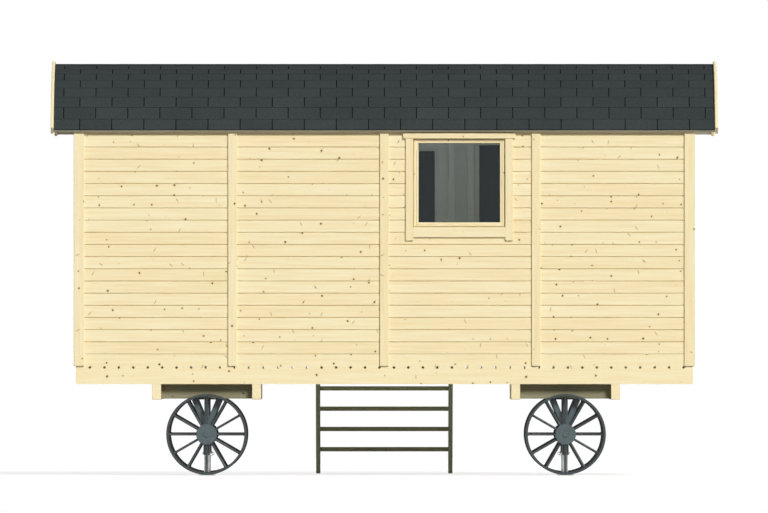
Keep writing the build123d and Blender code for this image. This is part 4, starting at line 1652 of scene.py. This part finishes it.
@dataclass
class Stairs:
    """Open stairs of impregnated timber."""

    finishes: Finishes
    chamfer: float = 3 * MM
    corner_digits: int = 4

    def build(self) -> None:
        """Make the stringers and the treads."""
        sides = Piece("stair_sides")
        outline = self.stringer_outline()
        for low, high in solids("stair_stringers"):
            edge = self.chamfer
            centre = sum((Vector((0.0, y, z)) for y, z in outline), Vector()) / len(outline)
            rings = []
            for x, inset in ((low.x, edge), (low.x + edge, 0.0), (high.x - edge, 0.0), (high.x, edge)):
                ring = []
                for y, z in outline:
                    point = Vector((0.0, y, z))
                    ring.append(Vector((x, 0.0, 0.0)) + point + (centre - point).normalized() * inset)
                rings.append(ring)
            sides.loft(rings, (Axis.Y.unit, Axis.Z.unit))
        sides.place("cabin", "treated_timber", (self.finishes.treated,), "stair_stringers")
        steps = Piece("stair_steps")
        steps.bars("stair_treads", Axis.X, self.chamfer)
        steps.place("cabin", "treated_timber", (self.finishes.treated,), "stair_treads")

    def stringer_outline(self) -> list[tuple[float, float]]:
        """Read a stringer's corners from its CAD node.

        Returns:
            Y and Z of the corners, in order round it.
        """
        corners = {(round(point.y, self.corner_digits), round(point.z, self.corner_digits))
                   for point in node_points("stair_stringers")}
        middle_y = sum(y for y, _ in corners) / len(corners)
        middle_z = sum(z for _, z in corners) / len(corners)
        return sorted(corners, key=lambda corner: math.atan2(corner[1] - middle_z, corner[0] - middle_y))


@dataclass
class Studio:
    """Pale floor, soft light, and a long lens square to the window side."""

    frame_width: float = 6597 * MM
    aim_x: float = -2.6 * MM
    aim_height: float = 1881 * MM
    eye_height: float = 1100 * MM
    lens: float = 1130.0
    sensor: float = 36.0
    clip_start: float = 1.0
    sun_strength: float = 3.11
    sun_size: float = math.radians(16)
    sun_height: float = math.radians(31)
    sun_side: float = math.radians(24)
    sky_strength: float = 0.13
    back_strength: float = 1.7
    back_reach: tuple[float, float] = (0.25, 0.9)
    room_light: float = 64.0
    room_colour: tuple[float, float, float] = (0.91, 0.94, 1.0)
    room_drop: float = 120 * MM
    room_shares: tuple[float, float] = (0.8, 0.5)
    floor_size: float = 60.0
    floor_colour: str = "#AAAAAA"
    floor_glow: float = 0.7

    def build(self) -> None:
        """Set the view, the camera, the lamps, the world and the floor."""
        scene = bpy.context.scene
        scene.view_settings.view_transform = "Standard"
        self.camera(scene)
        self.lamps()
        self.world(scene)
        self.floor()

    def camera(self, scene: bpy.types.Scene) -> None:
        """Stand the camera far off, so that the view is as square as the picture's.

        Args:
            scene: The scene that gets the camera.
        """
        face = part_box("front_wall_left")[0].y
        distance = self.frame_width * self.lens / self.sensor
        data = bpy.data.cameras.new("camera")
        data.lens, data.sensor_width = self.lens, self.sensor
        data.clip_start, data.clip_end = self.clip_start, 2 * distance
        camera = add_object("camera", data)
        camera.location = (self.aim_x, face - distance, self.eye_height)
        target = Vector((self.aim_x, face, self.aim_height))
        camera.rotation_euler = (target - camera.location).to_track_quat("-Z", "Y").to_euler()
        scene.camera = camera

    def lamps(self) -> None:
        """Hang a soft key light at the upper right of the front, and a lamp inside the room."""
        sun = bpy.data.lights.new("key_light", "SUN")
        sun.energy, sun.angle = self.sun_strength, self.sun_size
        key = add_object("key_light", sun)
        towards = Vector((math.sin(self.sun_side) * math.cos(self.sun_height),
                          -math.cos(self.sun_side) * math.cos(self.sun_height), math.sin(self.sun_height)))
        key.rotation_euler = towards.to_track_quat("Z", "Y").to_euler()
        low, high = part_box("floor_deck")
        lamp = bpy.data.lights.new("room_light", "AREA")
        lamp.energy, lamp.shape, lamp.color = self.room_light, "RECTANGLE", self.room_colour
        lamp.size, lamp.size_y = (high.x - low.x) * self.room_shares[0], (high.y - low.y) * self.room_shares[1]
        room = add_object("room_light", lamp)
        room.location = ((low.x + high.x) / 2, (low.y + high.y) / 2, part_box("roof_deck")[1].z - self.room_drop)
        room.visible_camera = False

    def world(self, scene: bpy.types.Scene) -> None:
        """Light the scene softly from all round, and show white behind it and in its reflections.

        Args:
            scene: The scene that gets the world.
        """
        world = bpy.data.worlds.new("studio")
        scene.world = world
        world.use_nodes = True
        tree = world.node_tree
        tree.nodes.clear()
        white = self.seen(tree)
        across = add_node(tree, "SeparateXYZ", {0: add_node(tree, "TexCoord").outputs["Generated"]}).outputs["Y"]
        strength = add_node(tree, "MapRange", {
            "Value": across, "From Min": self.back_reach[0], "From Max": self.back_reach[1],
            "To Min": self.sky_strength, "To Max": self.back_strength,
        })
        soft = add_node(tree, "Background", {"Color": linear(WHITE), "Strength": strength.outputs[0]})
        bright = add_node(tree, "Background", {"Color": linear(WHITE), "Strength": 1.0})
        mix = add_node(tree, "MixShader", {0: white, 1: soft.outputs[0], 2: bright.outputs[0]})
        add_node(tree, "OutputWorld", {"Surface": mix.outputs[0]})

    def seen(self, tree: bpy.types.NodeTree) -> bpy.types.NodeSocket:
        """Tell what the eye sees directly, mirrored or through glass from light that falls.

        Args:
            tree: Node tree of a material or the world.

        Returns:
            A value of 1 for what is seen, and 0 for light that falls.
        """
        path = add_node(tree, "LightPath")
        mirrored = add_node(tree, "Math", {0: path.outputs["Is Camera Ray"], 1: path.outputs["Is Glossy Ray"]},
                            operation="MAXIMUM")
        through = add_node(tree, "Math", {0: mirrored.outputs[0], 1: path.outputs["Is Transmission Ray"]},
                           operation="MAXIMUM")
        return through.outputs[0]

    def floor(self) -> None:
        """Lay a pale floor that looks white where it is lit and keeps the hut's shadow."""
        half = self.floor_size / 2
        mesh = bpy.data.meshes.new("studio_floor")
        corners = [(-half, -half, 0.0), (half, -half, 0.0), (half, half, 0.0), (-half, half, 0.0)]
        mesh.from_pydata(corners, [], [(0, 1, 2, 3)])
        floor = add_object("studio_floor", mesh)
        material, tree = new_material("pale_studio_floor")
        diffuse = add_node(tree, "BsdfDiffuse", {"Color": linear(self.floor_colour)})
        glow = add_node(tree, "Math", {0: self.seen(tree), 1: self.floor_glow}, operation="MULTIPLY")
        emission = add_node(tree, "Emission", {"Color": linear(WHITE), "Strength": glow.outputs[0]})
        both = add_node(tree, "AddShader", {0: diffuse.outputs[0], 1: emission.outputs[0]})
        add_node(tree, "OutputMaterial", {"Surface": both.outputs[0]})
        mesh.materials.append(material)


def main() -> None:
    """Build every sub-assembly, then the studio."""
    logging.basicConfig(level=logging.INFO, format="%(name)s %(message)s")
    finishes = Finishes()
    arch = Arch()
    Cladding(arch, finishes).build()
    Floor(finishes).build()
    Trim(arch, finishes).build()
    Roof(arch, finishes).build()
    Windows(finishes, side=Side.FRONT).build("front_window_casing", "front_window_sash", "front_window_pane")
    Windows(finishes, side=Side.BACK).build("back_window_casings", "back_window_sashes", "back_window_panes")
    DoorSet(finishes).build()
    Undercarriage(finishes).build()
    for name in ("wheel_front_left", "wheel_front_right", "wheel_back_left", "wheel_back_right"):
        Wheel(finishes, name).build()
    Stairs(finishes).build()
    Studio().build()


if __name__ == "__main__":
    main()
